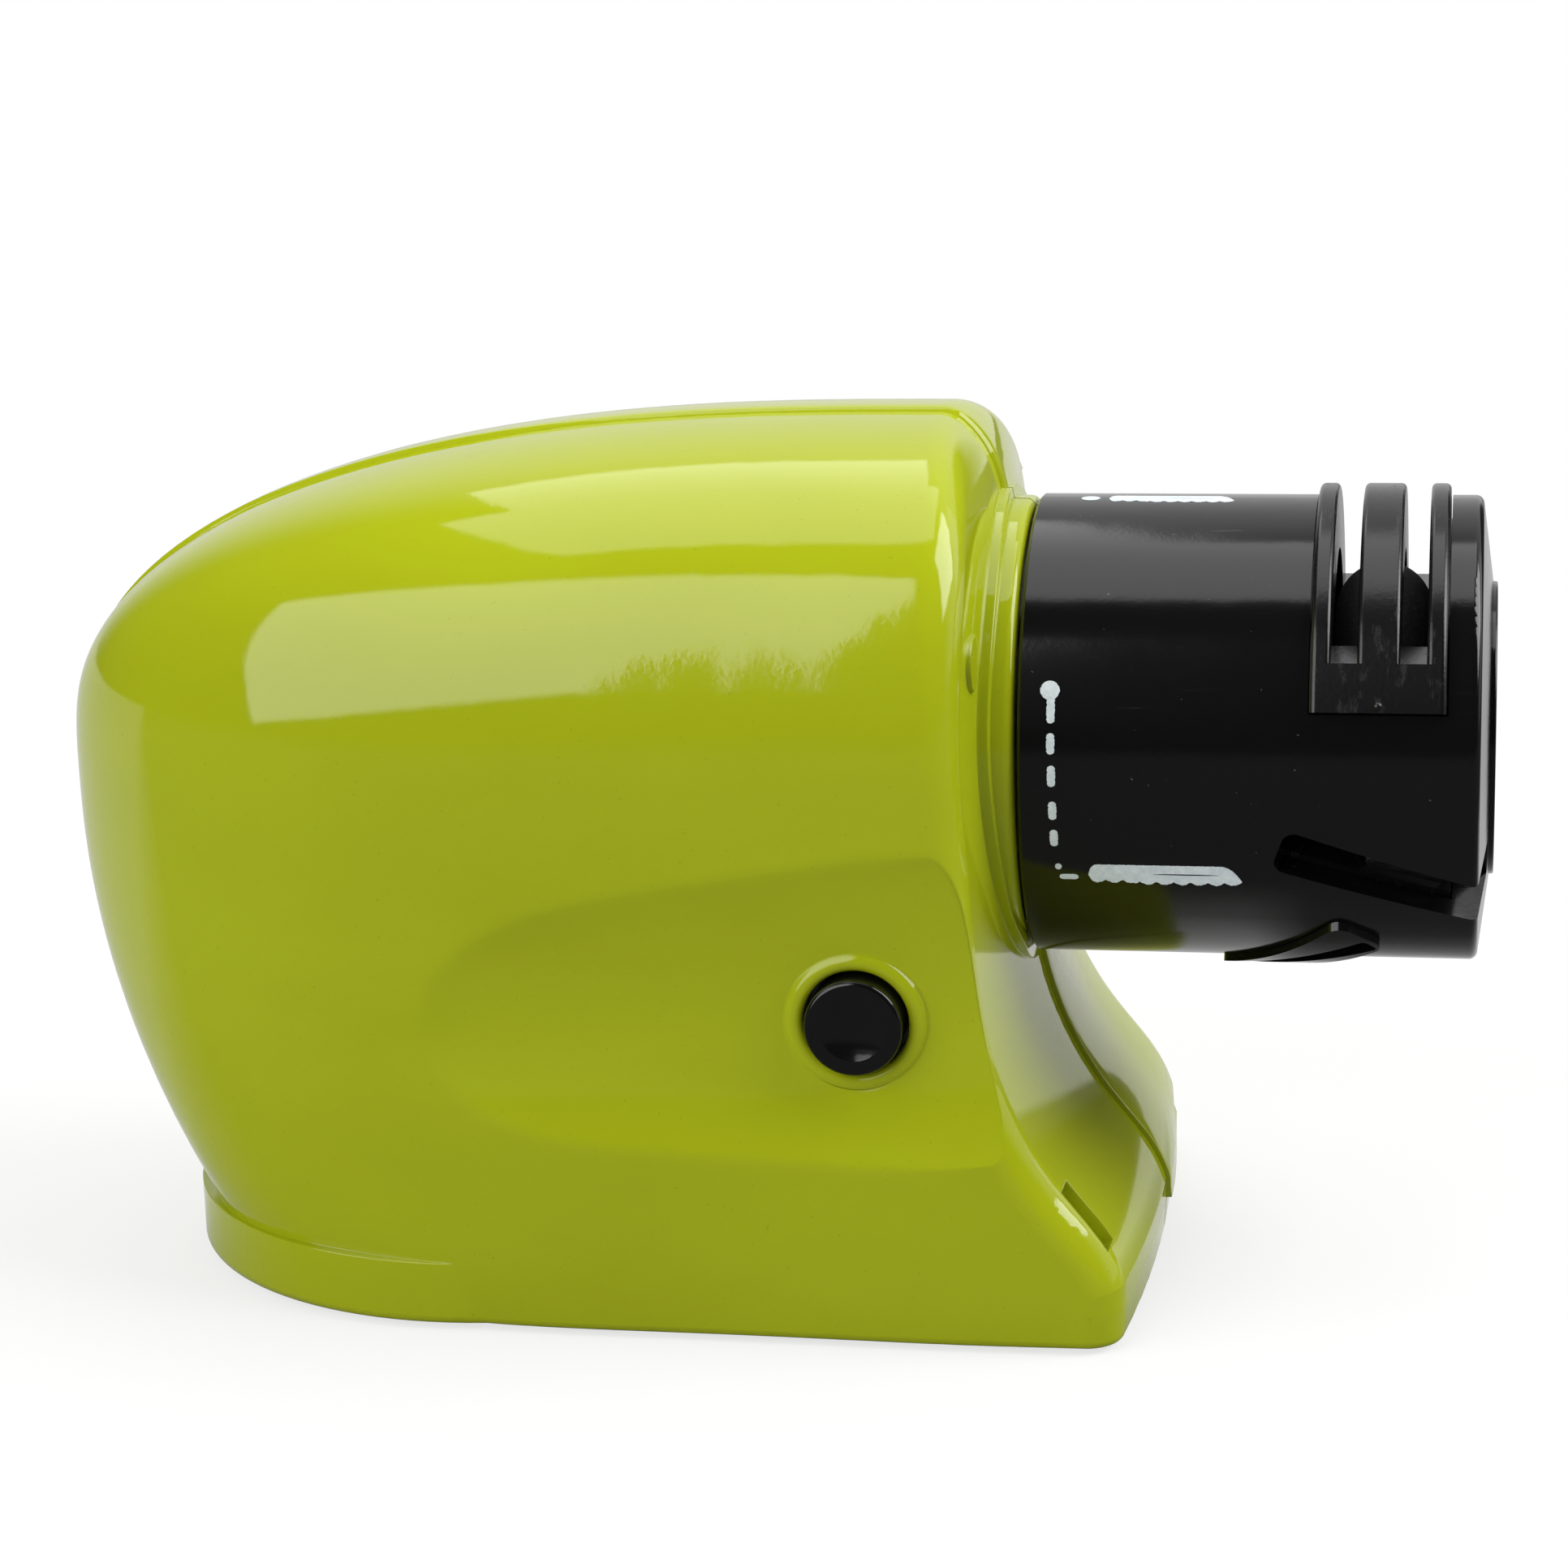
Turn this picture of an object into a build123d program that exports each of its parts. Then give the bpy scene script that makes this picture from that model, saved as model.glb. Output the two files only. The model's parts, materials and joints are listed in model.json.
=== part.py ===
from build123d import *
import math
import os

# Cordless electric knife sharpener. Millimetres, +Z up, +X along the body towards the turning
# head, origin on the surface it stands on, below the middle of its bounding box.

# ---- overall size
LENGTH = 135.0
HEIGHT = 80.0
REAR_X = -LENGTH / 2
END_X = LENGTH / 2

# ---- clearances
RUN_GAP = 0.3        # between pieces that turn or slide past each other
FIT_GAP = 0.15       # between pieces that are clipped or dropped into place
SEAM_GAP = 0.3       # open line between the two housing halves
SEAM_GROOVE = 0.7    # width of the shadow line along that seam
SEAM_GROOVE_DEPTH = 0.6
BEYOND = 200.0       # reach of the cutting blocks, past everything

# ---- batteries: four standard AA cells side by side, which set the width of the body
CELL_RADIUS = 7.05
CELL_LENGTH = 50.5
CELL_NUB = 1.2
CELL_NUB_RADIUS = 2.7
CELL_SPACE = 0.08
CELL_PITCH = 2 * CELL_RADIUS + CELL_SPACE
CELL_SIDE_GAP = 1.28
CELL_BOTTOM_Z = 2.9

# ---- housing shell
WALL = 1.8
FOOT_PROUD = 0.5
HALF_WIDTH = 1.5 * CELL_PITCH + CELL_RADIUS + CELL_SIDE_GAP + WALL
WAIST_Z = 47.8       # height of the rear tip and of the widest line
CROWN_RUN = 79.1     # from the rear tip to where the top becomes level
CROWN_POWER = 2.35
PLAN_RUN = 47.5      # from the rear tip to where the sides become straight
PLAN_POWER = 1.95
UNDER_DEPTH = 80.4
UNDER_POWER = 1.83
SHOULDER = 0.69      # roundness of the top corners of a cross-section
CROWN_FLAT = 1.1     # how far the flat of the top reaches, as a share of the shoulder
FLANK = 0.785
STATIONS = (0.0035, 0.015, 0.038, 0.076, 0.134, 0.21, 0.305, 0.43, 0.57, 0.75, 0.90, 1.02)
SKIRT_HALF = HALF_WIDTH - 1.1
SKIRT_REAR_X = REAR_X + 10.4
SKIRT_TOP = 6.5

# ---- front face, measured from the collar that the head turns in
HEAD_LENGTH = 42.0
COLLAR_X = END_X - HEAD_LENGTH
FRONT_PROFILE = (
    (COLLAR_X - 8.5, HEIGHT + 0.5), (COLLAR_X - 4.0, HEIGHT - 4.5), (COLLAR_X - 2.8, HEIGHT - 9.5),
    (COLLAR_X - 2.2, 56.0), (COLLAR_X - 1.3, 40.0), (COLLAR_X + 0.1, 28.3),
    (COLLAR_X + 2.8, 20.5), (COLLAR_X + 6.1, 15.0), (COLLAR_X + 10.5, 9.2), (COLLAR_X + 11.8, 6.2),
)
TOE_X = COLLAR_X + 11.8
TOE_DRAFT = 0.4
TOE_BAND_Z = 4.0
FRONT_BULGE_RADIUS = 258.0
FRONT_EDGE_RADIUS = 3.5
BASE_EDGE_RADIUS = 0.8

# ---- finger scoops in both sides
SCOOP_X = COLLAR_X - 7.5
SCOOP_Z = 31.5
SCOOP_TILT = 4.0
SCOOP_HALF_LENGTH = 70.0
SCOOP_HALF_HEIGHT = 20.0
SCOOP_HALF_DEPTH = 8.0
SCOOP_CUT = 2.4

# ---- turning head
AXIS_Z = 50.8
HEAD_RADIUS = 21.25
HEAD_WALL = 2.0
HEAD_EDGE = 0.3
HEAD_TURN = 68.0
COLLAR_RADIUS = 21.1
COLLAR_LIP = 0.9
COLLAR_ROOT = 1.0
COLLAR_BACK_X = COLLAR_X - 4.6
COLLAR_BACK_RADIUS = 23.0
SPIGOT_RADIUS = 18.4
SPIGOT_WALL = 1.8
LIP_RADIUS = 20.0
LIP_THICK = 2.0
LIP_GAP = 0.4
SHOULDER_THICK = 2.2
STOP_HEIGHT = 1.6
STOP_HALF_ANGLE = 4.0
STOP_SLACK = 1.5
DISC_THICK = 0.4
DISC_RADIUS = 13.4
CAP_DOME_X = END_X - DISC_THICK
CAP_END_X = END_X - 1.3
CAP_X = CAP_END_X - 2.3
CAP_EDGE = 0.8
CAP_PLUG_RADIUS = 16.2
CAP_PLUG_WALL = 1.7
CAP_PLUG_DEPTH = 1.7

# ---- knife guide saddle
GUIDE_X = END_X - 10.2
GUIDE_WIDTH = 11.8
GUIDE_RADIUS = 22.3
GUIDE_BORE = 16.4
GUIDE_EDGE = 0.5
GUIDE_END_ANGLE = 16.3
GUIDE_FLANGE = 1.5
GUIDE_FLANGE_ANGLE = 8.0
SLOT_PITCH = 6.0
SLOT_WIDTH = 2.3
SLOT_LIP = 0.45
SLOT_FLOOR_Z = 61.1
NUB_RADIUS = 0.45

# ---- scissor and screwdriver slots, measured round the head from the near horizontal
SCISSOR_X0 = END_X - 18.9
SCISSOR_X1 = CAP_END_X
SCISSOR_ANGLE = -20.0
SCISSOR_FALL = 15.0
SCISSOR_WIDTH = 4.2
DRIVER_X0 = END_X - 23.9
DRIVER_X1 = END_X - 10.5
DRIVER_ANGLE = -76.0
DRIVER_RISE = 24.0
DRIVER_WIDTH = 6.0
SLOT_CORNER = 0.28   # corner radius of both slots, as a share of their width
INSERT_INNER = 16.6
INSERT_PROUD = 0.7
INSERT_THROAT = 2.0
LINER_BELOW = 7.0
LINER_ABOVE = 14.0
STRIP_THICK = 1.4

# ---- grinding wheel
WHEEL_RADIUS = 15.1
WHEEL_WIDTH = 8.7
WHEEL_BORE = 4.0
HUB_FLANGE_RADIUS = 5.6
HUB_FLANGE_THICK = 0.8
NUT_RADIUS = 3.2
NUT_THICK = 1.4

# ---- motor
MOTOR_RADIUS = 13.85
MOTOR_FRONT_X = GUIDE_X - 7.4
MOTOR_LENGTH = 35.4
MOTOR_REAR_X = MOTOR_FRONT_X - MOTOR_LENGTH
BELL_LENGTH = 2.4
MOTOR_WALL = 1.0
BOSS_RADIUS = 5.0
BOSS_LENGTH = 1.8
SHAFT_RADIUS = 1.15
SHAFT_REAR_X = MOTOR_REAR_X - 4.1
MAGNET_THICK = 2.4
ARMATURE_RADIUS = 9.6
ARMATURE_LENGTH = 20.0
COMMUTATOR_LENGTH = 5.0
COMMUTATOR_RADIUS = 3.2
TERMINAL_LENGTH = 3.0
TERMINAL_OFFSET = 8.0

# ---- motor carrier
CARRIER_WALL = 1.9
CARRIER_FRONT = 1.6
FLANGE_X = COLLAR_BACK_X - 5.0
FLANGE_THICK = 2.2
FLANGE_RADIUS = 22.0
CARRIER_REAR_X = FLANGE_X - 2.8
LUG_REACH = 25.0
LUG_RADIUS = 2.5
LUG_ANGLE = 25.0
LUG_HALF_ANGLE = 5.5
MOTOR_SCREW_OFFSET = 8.0

# ---- battery bay
DOOR_THICK = 1.8
DOOR_FRONT_X = TOE_X - 10.3
DOOR_REAR_X = DOOR_FRONT_X - 57.2
DOOR_HALF = HALF_WIDTH - 3.8
DOOR_TAB_Y = 18.0
DOOR_TAB_WIDTH = 5.0
DOOR_TAB_REACH = 1.4
DOOR_TAB_THICK = 1.0
CELL_REAR_X = DOOR_FRONT_X - 54.5
CONTACT_THICK = 0.4
CONTACT_HEIGHT = 9.0
CONTACT_WIDTH = 10.0
TRAY_GAP = 0.5
TRAY_WALL = 1.0
TRAY_ROOF = 1.4
TRAY_HALF = HALF_WIDTH - WALL - 1.3
TRAY_RIB = 2.0
TRAY_FRONT_Z = 4.6   # lower edge of the tray's front wall, above the swing of the door's tabs
TRAY_REAR_X = CELL_REAR_X - TRAY_GAP - CONTACT_THICK - TRAY_WALL

# ---- fasteners
SCREW_RADIUS = 1.1
SCREW_HEAD_RADIUS = 2.1
SCREW_HEAD_THICK = 1.5
BOSS_OUTER = 3.0
SCREW_SEAT_Y = 10.0
SCREW_TIP_Y = -8.0
BASE_SCREW_X = (SKIRT_REAR_X + TRAY_REAR_X) / 2
HOUSING_SCREWS = (
    (REAR_X + 15.5, WAIST_Z - 1.8), (BASE_SCREW_X, 14.0), (REAR_X + 49.5, HEIGHT - 11.0),
    (COLLAR_X - 19.5, HEIGHT - 7.6), (COLLAR_X - 3.7, 24.0),
)
LUG_SCREW_LENGTH = 6.0
MOTOR_SCREW_LENGTH = 3.2

# ---- push switch
BUTTON_X = COLLAR_X - 13.3
BUTTON_Z = 30.25
BUTTON_RADIUS = 4.4
BUTTON_FACE_Y = -(HALF_WIDTH - 0.1)
BUTTON_TRAVEL = 1.6
BUTTON_EDGE = 0.5
BUTTON_DISH_RADIUS = 9.0
BUTTON_DISH_DEPTH = 0.5
BUTTON_FLANGE_RADIUS = 5.9
BUTTON_FLANGE_Y = BUTTON_FACE_Y + 5.9
BUTTON_FLANGE_THICK = 1.0
BUTTON_POST_RADIUS = 1.5
BUTTON_POST_Y = BUTTON_FLANGE_Y + 3.0
RING_RADIUS = 6.5
RING_FACE_Y = BUTTON_FACE_Y + 1.6
RING_BORE = 4.75
RING_OUTER_EDGE = 1.0
RING_INNER_EDGE = 0.65
SPRING_RADIUS = 3.2
SPRING_WIRE = 0.3
SPRING_TURNS = 3
SWITCH_FRONT_Y = BUTTON_POST_Y + 2.8
SWITCH_DEPTH = 6.0
SWITCH_WIDTH = 6.6
SWITCH_HEIGHT = 8.0
SWITCH_X = BUTTON_X - 0.6
SWITCH_TIP_RADIUS = 1.2
CRADLE_ARM = 1.8
CRADLE_WIDTH = 4.6
CRADLE_LIP = 1.2

# ---- feet, tab window, wires
FOOT_THICK = 0.9
REAR_FOOT_RADIUS = 4.0
REAR_FOOT_PLACE = (BASE_SCREW_X + 4.25, 15.0)
FRONT_FOOT_SIZE = (3.6, 13.0)
FRONT_FOOT_PLACE = (TOE_X - 5.7, 17.0)
WINDOW_Y = -(HALF_WIDTH - 4.3)
WINDOW_SIZE = (6.8, 2.6)
WINDOW_DEPTH = 1.0
WIRE_RADIUS = 0.6


# =============================================================== helpers
def axial(x0, x1, radius):
    """A cylinder on the head axis from x0 to x1."""
    place = Pos(x0, 0, AXIS_Z) * Rot(0, 90, 0)
    return place * Cylinder(radius, x1 - x0, align=(Align.CENTER, Align.CENTER, Align.MIN))


def ring(x0, x1, inner, outer):
    return axial(x0, x1, outer) - axial(x0 - 1, x1 + 1, inner)


def rod_y(x, z, y0, y1, radius):
    """A cylinder along Y from y0 to y1."""
    place = Pos(x, y0, z) * Rot(-90, 0, 0)
    return place * Cylinder(radius, y1 - y0, align=(Align.CENTER, Align.CENTER, Align.MIN))


def rod_x(x0, x1, y, z, radius):
    place = Pos(x0, y, z) * Rot(0, 90, 0)
    return place * Cylinder(radius, x1 - x0, align=(Align.CENTER, Align.CENTER, Align.MIN))


def block(x0, x1, y0, y1, z0, z1):
    centre = ((x0 + x1) / 2, (y0 + y1) / 2, (z0 + z1) / 2)
    return Pos(*centre) * Box(x1 - x0, y1 - y0, z1 - z0)


def round_the_head(angle, radius):
    """(y, z) at an angle above the near horizontal, measured round the head axis."""
    turn = math.radians(angle)
    return -radius * math.cos(turn), AXIS_Z + radius * math.sin(turn)


def wedge(x0, x1, reach, start, end):
    """The space between two angles above the near horizontal, out to a reach."""
    middle = (start + end) / 2
    corners = [(0.0, AXIS_Z)]
    corners += [round_the_head(a, reach) for a in (start, (start + middle) / 2, middle,
                                                   (end + middle) / 2, end)]
    with BuildSketch(Plane.YZ.offset(x0)) as outline:
        with BuildLine():
            Polyline(*corners, close=True)
        make_face()
    return extrude(outline.sketch, x1 - x0)


def sector(x0, x1, inner, outer, start, end):
    """Part of a ring between two angles above the near horizontal."""
    return ring(x0, x1, inner, outer) & wedge(x0, x1, 2 * outer, start, end)


def screw(length, head_radius=SCREW_HEAD_RADIUS):
    """A screw along +X: its tip at x=0, its head beyond x=length, with a cross recess."""
    shank = Rot(0, 90, 0) * Cylinder(SCREW_RADIUS, length, align=(Align.CENTER, Align.CENTER, Align.MIN))
    head = Pos(length, 0, 0) * Rot(0, 90, 0) * Cylinder(
        head_radius, SCREW_HEAD_THICK, align=(Align.CENTER, Align.CENTER, Align.MIN))
    cross = Box(1.4, head_radius * 1.2, 0.5) + Box(1.4, 0.5, head_radius * 1.2)
    return shank + head - Pos(length + SCREW_HEAD_THICK, 0, 0) * cross


def group(solids):
    return Compound(children=list(solids))


# =============================================================== housing form
def fullness(distance, span, power):
    """Rises from 0 at the tip to 1 at the end of the span along a superellipse."""
    rest = max(0.0, 1.0 - min(1.0, distance / span))
    return (1.0 - rest ** power) ** (1.0 / power)


def section(x, half, top, bottom, plan):
    """One closed cross-section of the body: round at the tail, squarer in front."""
    flank = FLANK + 0.13 * plan
    floor = 0.72 + 0.25 * plan
    rise = WAIST_Z + SHOULDER * (top - WAIST_Z)
    crown = CROWN_FLAT * SHOULDER * half
    fall = WAIST_Z - flank * (WAIST_Z - bottom)
    edges = []
    for side in (1, -1):
        edges.append(Bezier((x, side * half, WAIST_Z), (x, side * half, rise),
                            (x, side * crown, top), (x, 0, top)))
        edges.append(Bezier((x, side * half, WAIST_Z), (x, side * half, fall),
                            (x, side * floor * half, bottom), (x, 0, bottom)))
    return Face(Wire([edges[0], edges[2], edges[3], edges[1]]))


def bulb(inset):
    tip = REAR_X + inset
    sections = [Vertex(tip, 0, WAIST_Z)]
    for share in STATIONS:
        distance = share * (TOE_X - tip)
        plan = fullness(distance, PLAN_RUN - inset, PLAN_POWER)
        rise = fullness(distance, CROWN_RUN - inset, CROWN_POWER)
        drop = fullness(distance, CROWN_RUN - inset, UNDER_POWER)
        sections.append(section(
            tip + distance,
            (HALF_WIDTH - inset) * plan,
            WAIST_Z + (HEIGHT - inset - WAIST_Z) * rise,
            WAIST_Z - (UNDER_DEPTH - inset) * drop,
            plan))
    return loft(sections)


def front_block(inset):
    """Everything behind the front face, which bulges slightly in plan."""
    with BuildSketch(Plane.XZ) as profile:
        with BuildLine():
            face_line = Spline([(x - inset, z) for x, z in FRONT_PROFILE])
            heel = (TOE_X - inset, TOE_BAND_Z)
            Line(face_line @ 1, heel)
            top_x = (face_line @ 0).X
            Polyline(heel, (TOE_X - inset - TOE_DRAFT, -1), (-BEYOND, -1), (-BEYOND, HEIGHT + 5),
                     (top_x, HEIGHT + 5), face_line @ 0)
        make_face()
    centre = Axis((TOE_X - FRONT_BULGE_RADIUS, 0, 0), (0, 0, 1))
    return revolve(profile.sketch, centre, revolution_arc=40).rotate(centre, -20)


def lowest_edges(shape):
    return [e for e in shape.edges() if (e @ 0.5).Z < FOOT_PROUD + 0.01]


def skirt():
    """The upright band round the tail's base."""
    with BuildSketch(Plane.XY.offset(FOOT_PROUD)) as plan:
        with Locations((SKIRT_REAR_X + SKIRT_HALF, 0)):
            Circle(SKIRT_HALF)
            Rectangle(DOOR_FRONT_X - SKIRT_REAR_X - SKIRT_HALF, 2 * SKIRT_HALF - 1,
                      align=(Align.MIN, Align.CENTER))
    band = extrude(plan.sketch, SKIRT_TOP - FOOT_PROUD)
    return fillet(lowest_edges(band), BASE_EDGE_RADIUS)


def scoop(side, grow):
    """Shallow finger recess: the cap of a long ellipsoid that lies outside the wall."""
    ball = scale(Sphere(1), by=(SCOOP_HALF_LENGTH + grow, SCOOP_HALF_DEPTH + grow,
                                SCOOP_HALF_HEIGHT + grow))
    offset = HALF_WIDTH + SCOOP_HALF_DEPTH - SCOOP_CUT
    return Pos(SCOOP_X, side * offset, SCOOP_Z) * Rot(0, -SCOOP_TILT, 0) * ball


def below_base(z):
    return block(-BEYOND, BEYOND, -BEYOND, BEYOND, -BEYOND, z)


def outer_form():
    form = bulb(0) & front_block(0)
    form -= below_base(FOOT_PROUD)
    front = REAR_X + CROWN_RUN
    rim = [e for e in form.edges() if (e @ 0.5).X > front and (e @ 0.5).Z > 1 and abs((e @ 0.5).Y) > 5]
    form = fillet(rim, FRONT_EDGE_RADIUS)
    form = fillet(lowest_edges(form), BASE_EDGE_RADIUS)
    return form + skirt()


def inner_form():
    form = bulb(WALL) & front_block(WALL)
    form = form - below_base(FOOT_PROUD + WALL)
    for side in (-1, 1):
        form -= scoop(side, WALL)
    return form


# =============================================================== housing halves
def collar():
    """The ring that the head turns in: a rounded boss with a step at its root."""
    boss = axial(COLLAR_BACK_X, COLLAR_X, COLLAR_RADIUS)
    lip = [e for e in boss.edges() if (e @ 0.5).X > COLLAR_X - 0.1]
    boss = fillet(lip, COLLAR_LIP)
    step = axial(COLLAR_BACK_X, COLLAR_X, COLLAR_RADIUS + COLLAR_ROOT) & front_block(-COLLAR_ROOT)
    return boss + step


def collar_seat(form):
    return axial(COLLAR_BACK_X, COLLAR_X, COLLAR_BACK_RADIUS) & form


def lug_angles():
    return (LUG_ANGLE, -LUG_ANGLE, 180 - LUG_ANGLE, 180 + LUG_ANGLE)


def lug_places():
    for angle in lug_angles():
        yield round_the_head(angle, LUG_REACH)


def head_stops():
    """Two ribs that end the head's turn, placed beside the lug on its lip."""
    reach = 2 * STOP_HALF_ANGLE + STOP_SLACK
    for centre in (-90 - reach, -90 + HEAD_TURN + reach):
        yield sector(FLANGE_X + FLANGE_THICK, COLLAR_BACK_X + 0.5, LIP_RADIUS + RUN_GAP,
                     COLLAR_BACK_RADIUS - 0.2, centre - STOP_HALF_ANGLE, centre + STOP_HALF_ANGLE)


def door_opening():
    return block(DOOR_REAR_X - RUN_GAP, DOOR_FRONT_X + RUN_GAP, -DOOR_HALF - RUN_GAP,
                 DOOR_HALF + RUN_GAP, 0, FOOT_PROUD + WALL + 0.5)


def tab_window():
    """A shallow pocket in the sloping foot of the front face, along its near corner."""
    (x0, z0), (x1, z1) = FRONT_PROFILE[-3:-1]
    sagitta = WINDOW_Y ** 2 / (2 * FRONT_BULGE_RADIUS)
    slope = math.degrees(math.atan2(z0 - z1, x1 - x0))
    place = Pos((x0 + x1) / 2 - sagitta, WINDOW_Y, (z0 + z1) / 2) * Rot(0, slope, 0)
    return place * Box(*WINDOW_SIZE, 2 * WINDOW_DEPTH)


def seam_groove():
    """A thin slab outside the skin's inner surface, clear of the collar."""
    half = SEAM_GROOVE / 2
    slab = block(-BEYOND, BEYOND, -half, half, -1, BEYOND)
    slab -= block(-BEYOND, SCOOP_X, -1, 1, -1, SKIRT_TOP)
    slab -= bulb(SEAM_GROOVE_DEPTH) & front_block(SEAM_GROOVE_DEPTH)
    return slab - axial(COLLAR_BACK_X, COLLAR_X + 1, COLLAR_RADIUS + COLLAR_ROOT)


def button_ring():
    """The raised round-edged ring that frames the button."""
    back = BUTTON_FLANGE_Y - BUTTON_FLANGE_THICK - RUN_GAP
    boss = rod_y(BUTTON_X, BUTTON_Z, RING_FACE_Y, back, RING_RADIUS)
    boss -= rod_y(BUTTON_X, BUTTON_Z, RING_FACE_Y - 1, back + 1, RING_BORE)
    middle = (RING_RADIUS + RING_BORE) / 2
    for outside, radius in ((False, RING_INNER_EDGE), (True, RING_OUTER_EDGE)):
        face = [e for e in boss.edges() if (e @ 0.5).Y < RING_FACE_Y + 0.01]
        boss = fillet([e for e in face if (e.radius > middle) == outside], radius)
    return boss


def foot_solids(grow):
    depth = FOOT_THICK + grow
    for side in (-1, 1):
        x, y = REAR_FOOT_PLACE
        yield Pos(x, side * y, 0) * Cylinder(REAR_FOOT_RADIUS + grow, depth,
                                             align=(Align.CENTER, Align.CENTER, Align.MIN))
        x, y = FRONT_FOOT_PLACE
        length, width = FRONT_FOOT_SIZE
        yield Pos(x, side * y, 0) * Box(length + 2 * grow, width + 2 * grow, depth,
                                        align=(Align.CENTER, Align.CENTER, Align.MIN))


def housing():
    outer = outer_form()
    scooped = outer - scoop(-1, 0) - scoop(1, 0)
    cavity = inner_form()
    shell = scooped - cavity
    shell += collar()
    shell += collar_seat(outer)
    inside = scooped & (cavity + axial(COLLAR_BACK_X - 6, COLLAR_X, COLLAR_BACK_RADIUS))
    bore = axial(COLLAR_BACK_X - 20, COLLAR_X + 1, SPIGOT_RADIUS + RUN_GAP)
    for y, z in lug_places():
        shell += rod_x(FLANGE_X + FLANGE_THICK, COLLAR_BACK_X + 1.5, y, z, LUG_RADIUS)
    for stop in head_stops():
        shell += stop
    shell -= bore
    shell -= door_opening()
    shell -= seam_groove()
    for foot in foot_solids(0.05):
        shell -= foot
    for y, z in lug_places():
        shell -= rod_x(FLANGE_X, FLANGE_X + FLANGE_THICK + LUG_SCREW_LENGTH - 2, y, z,
                       SCREW_RADIUS)
    return shell, inside, scooped


def split(shell, inside, scooped):
    half_gap = SEAM_GAP / 2
    near_space = block(-BEYOND, BEYOND, -BEYOND, -half_gap, -1, BEYOND)
    far_space = block(-BEYOND, BEYOND, half_gap, BEYOND, -1, BEYOND)
    near = shell & near_space
    far = shell & far_space
    for x, z in HOUSING_SCREWS:
        near += (rod_y(x, z, -HALF_WIDTH, 0, BOSS_OUTER) & inside)
        far += (rod_y(x, z, 0, HALF_WIDTH, BOSS_OUTER) & inside)
        near -= rod_y(x, z, SCREW_TIP_Y - 1, 1, SCREW_RADIUS)
        far -= rod_y(x, z, -1, SCREW_SEAT_Y + 1, SCREW_RADIUS + FIT_GAP)
        far -= rod_y(x, z, SCREW_SEAT_Y, 2 * HALF_WIDTH, SCREW_HEAD_RADIUS + RUN_GAP)
    near -= rod_y(BUTTON_X, BUTTON_Z, -2 * HALF_WIDTH, SWITCH_FRONT_Y, BUTTON_FLANGE_RADIUS + RUN_GAP)
    near += button_ring()
    near -= tab_window()
    near += cradle() & inside
    return near, far


def cradle():
    """Two arms from the near wall that hold the push switch, clear of the button's flange."""
    x0 = SWITCH_X - CRADLE_WIDTH / 2
    x1 = SWITCH_X + CRADLE_WIDTH / 2
    back = SWITCH_FRONT_Y + SWITCH_DEPTH
    outside = (BUTTON_FLANGE_RADIUS + RUN_GAP + RING_RADIUS) / 2
    arms = []
    for side in (-1, 1):
        inner = BUTTON_Z + side * (SWITCH_HEIGHT / 2 + FIT_GAP)
        foot = BUTTON_Z + side * outside
        outer = foot + side * CRADLE_ARM
        arms.append(block(x0, x1, -HALF_WIDTH, back + CRADLE_LIP, min(foot, outer), max(foot, outer)))
        arms.append(block(x0, x1, SWITCH_FRONT_Y, back, min(inner, outer), max(inner, outer)))
        lip = inner - side * 1.2
        arms.append(block(x0, x1, back + FIT_GAP, back + CRADLE_LIP, min(lip, outer), max(lip, outer)))
    return Part() + arms


def housing_screws():
    solids = []
    for x, z in HOUSING_SCREWS:
        place = Pos(x, SCREW_TIP_Y, z) * Rot(0, 0, 90)
        solids.append(place * screw(SCREW_SEAT_Y - SCREW_TIP_Y))
    return group(solids)


# =============================================================== head
def tangent_slot(x0, x1, angle, turn, width, inner):
    """A slanted slot through the head wall: it starts at x0 and an angle, and turns with x."""
    run = x1 - x0
    rise = math.radians(turn) * HEAD_RADIUS
    slope = math.degrees(math.atan2(rise, run))
    with BuildSketch() as plan:
        RectangleRounded(math.hypot(run, rise) + width, width, SLOT_CORNER * width)
    tool = extrude(plan.sketch, HEAD_RADIUS + 2 - inner, both=True)
    y, z = round_the_head(angle + turn / 2, HEAD_RADIUS)
    outward = Vector(0, y, z - AXIS_Z).normalized()
    frame = Plane(origin=((x0 + x1) / 2, y, z), x_dir=(1, 0, 0), z_dir=outward)
    return frame.location * Rot(0, 0, slope) * tool


def scissor_slot(width=SCISSOR_WIDTH, past=6.0):
    return tangent_slot(SCISSOR_X0 + width / 2, SCISSOR_X1 + past, SCISSOR_ANGLE,
                        -SCISSOR_FALL * (SCISSOR_X1 + past - SCISSOR_X0) / (SCISSOR_X1 - SCISSOR_X0),
                        width, INSERT_INNER)


def driver_slot(width=DRIVER_WIDTH):
    return tangent_slot(DRIVER_X0 + width / 2, DRIVER_X1 - width / 2, DRIVER_ANGLE, DRIVER_RISE,
                        width, INSERT_INNER)


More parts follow.
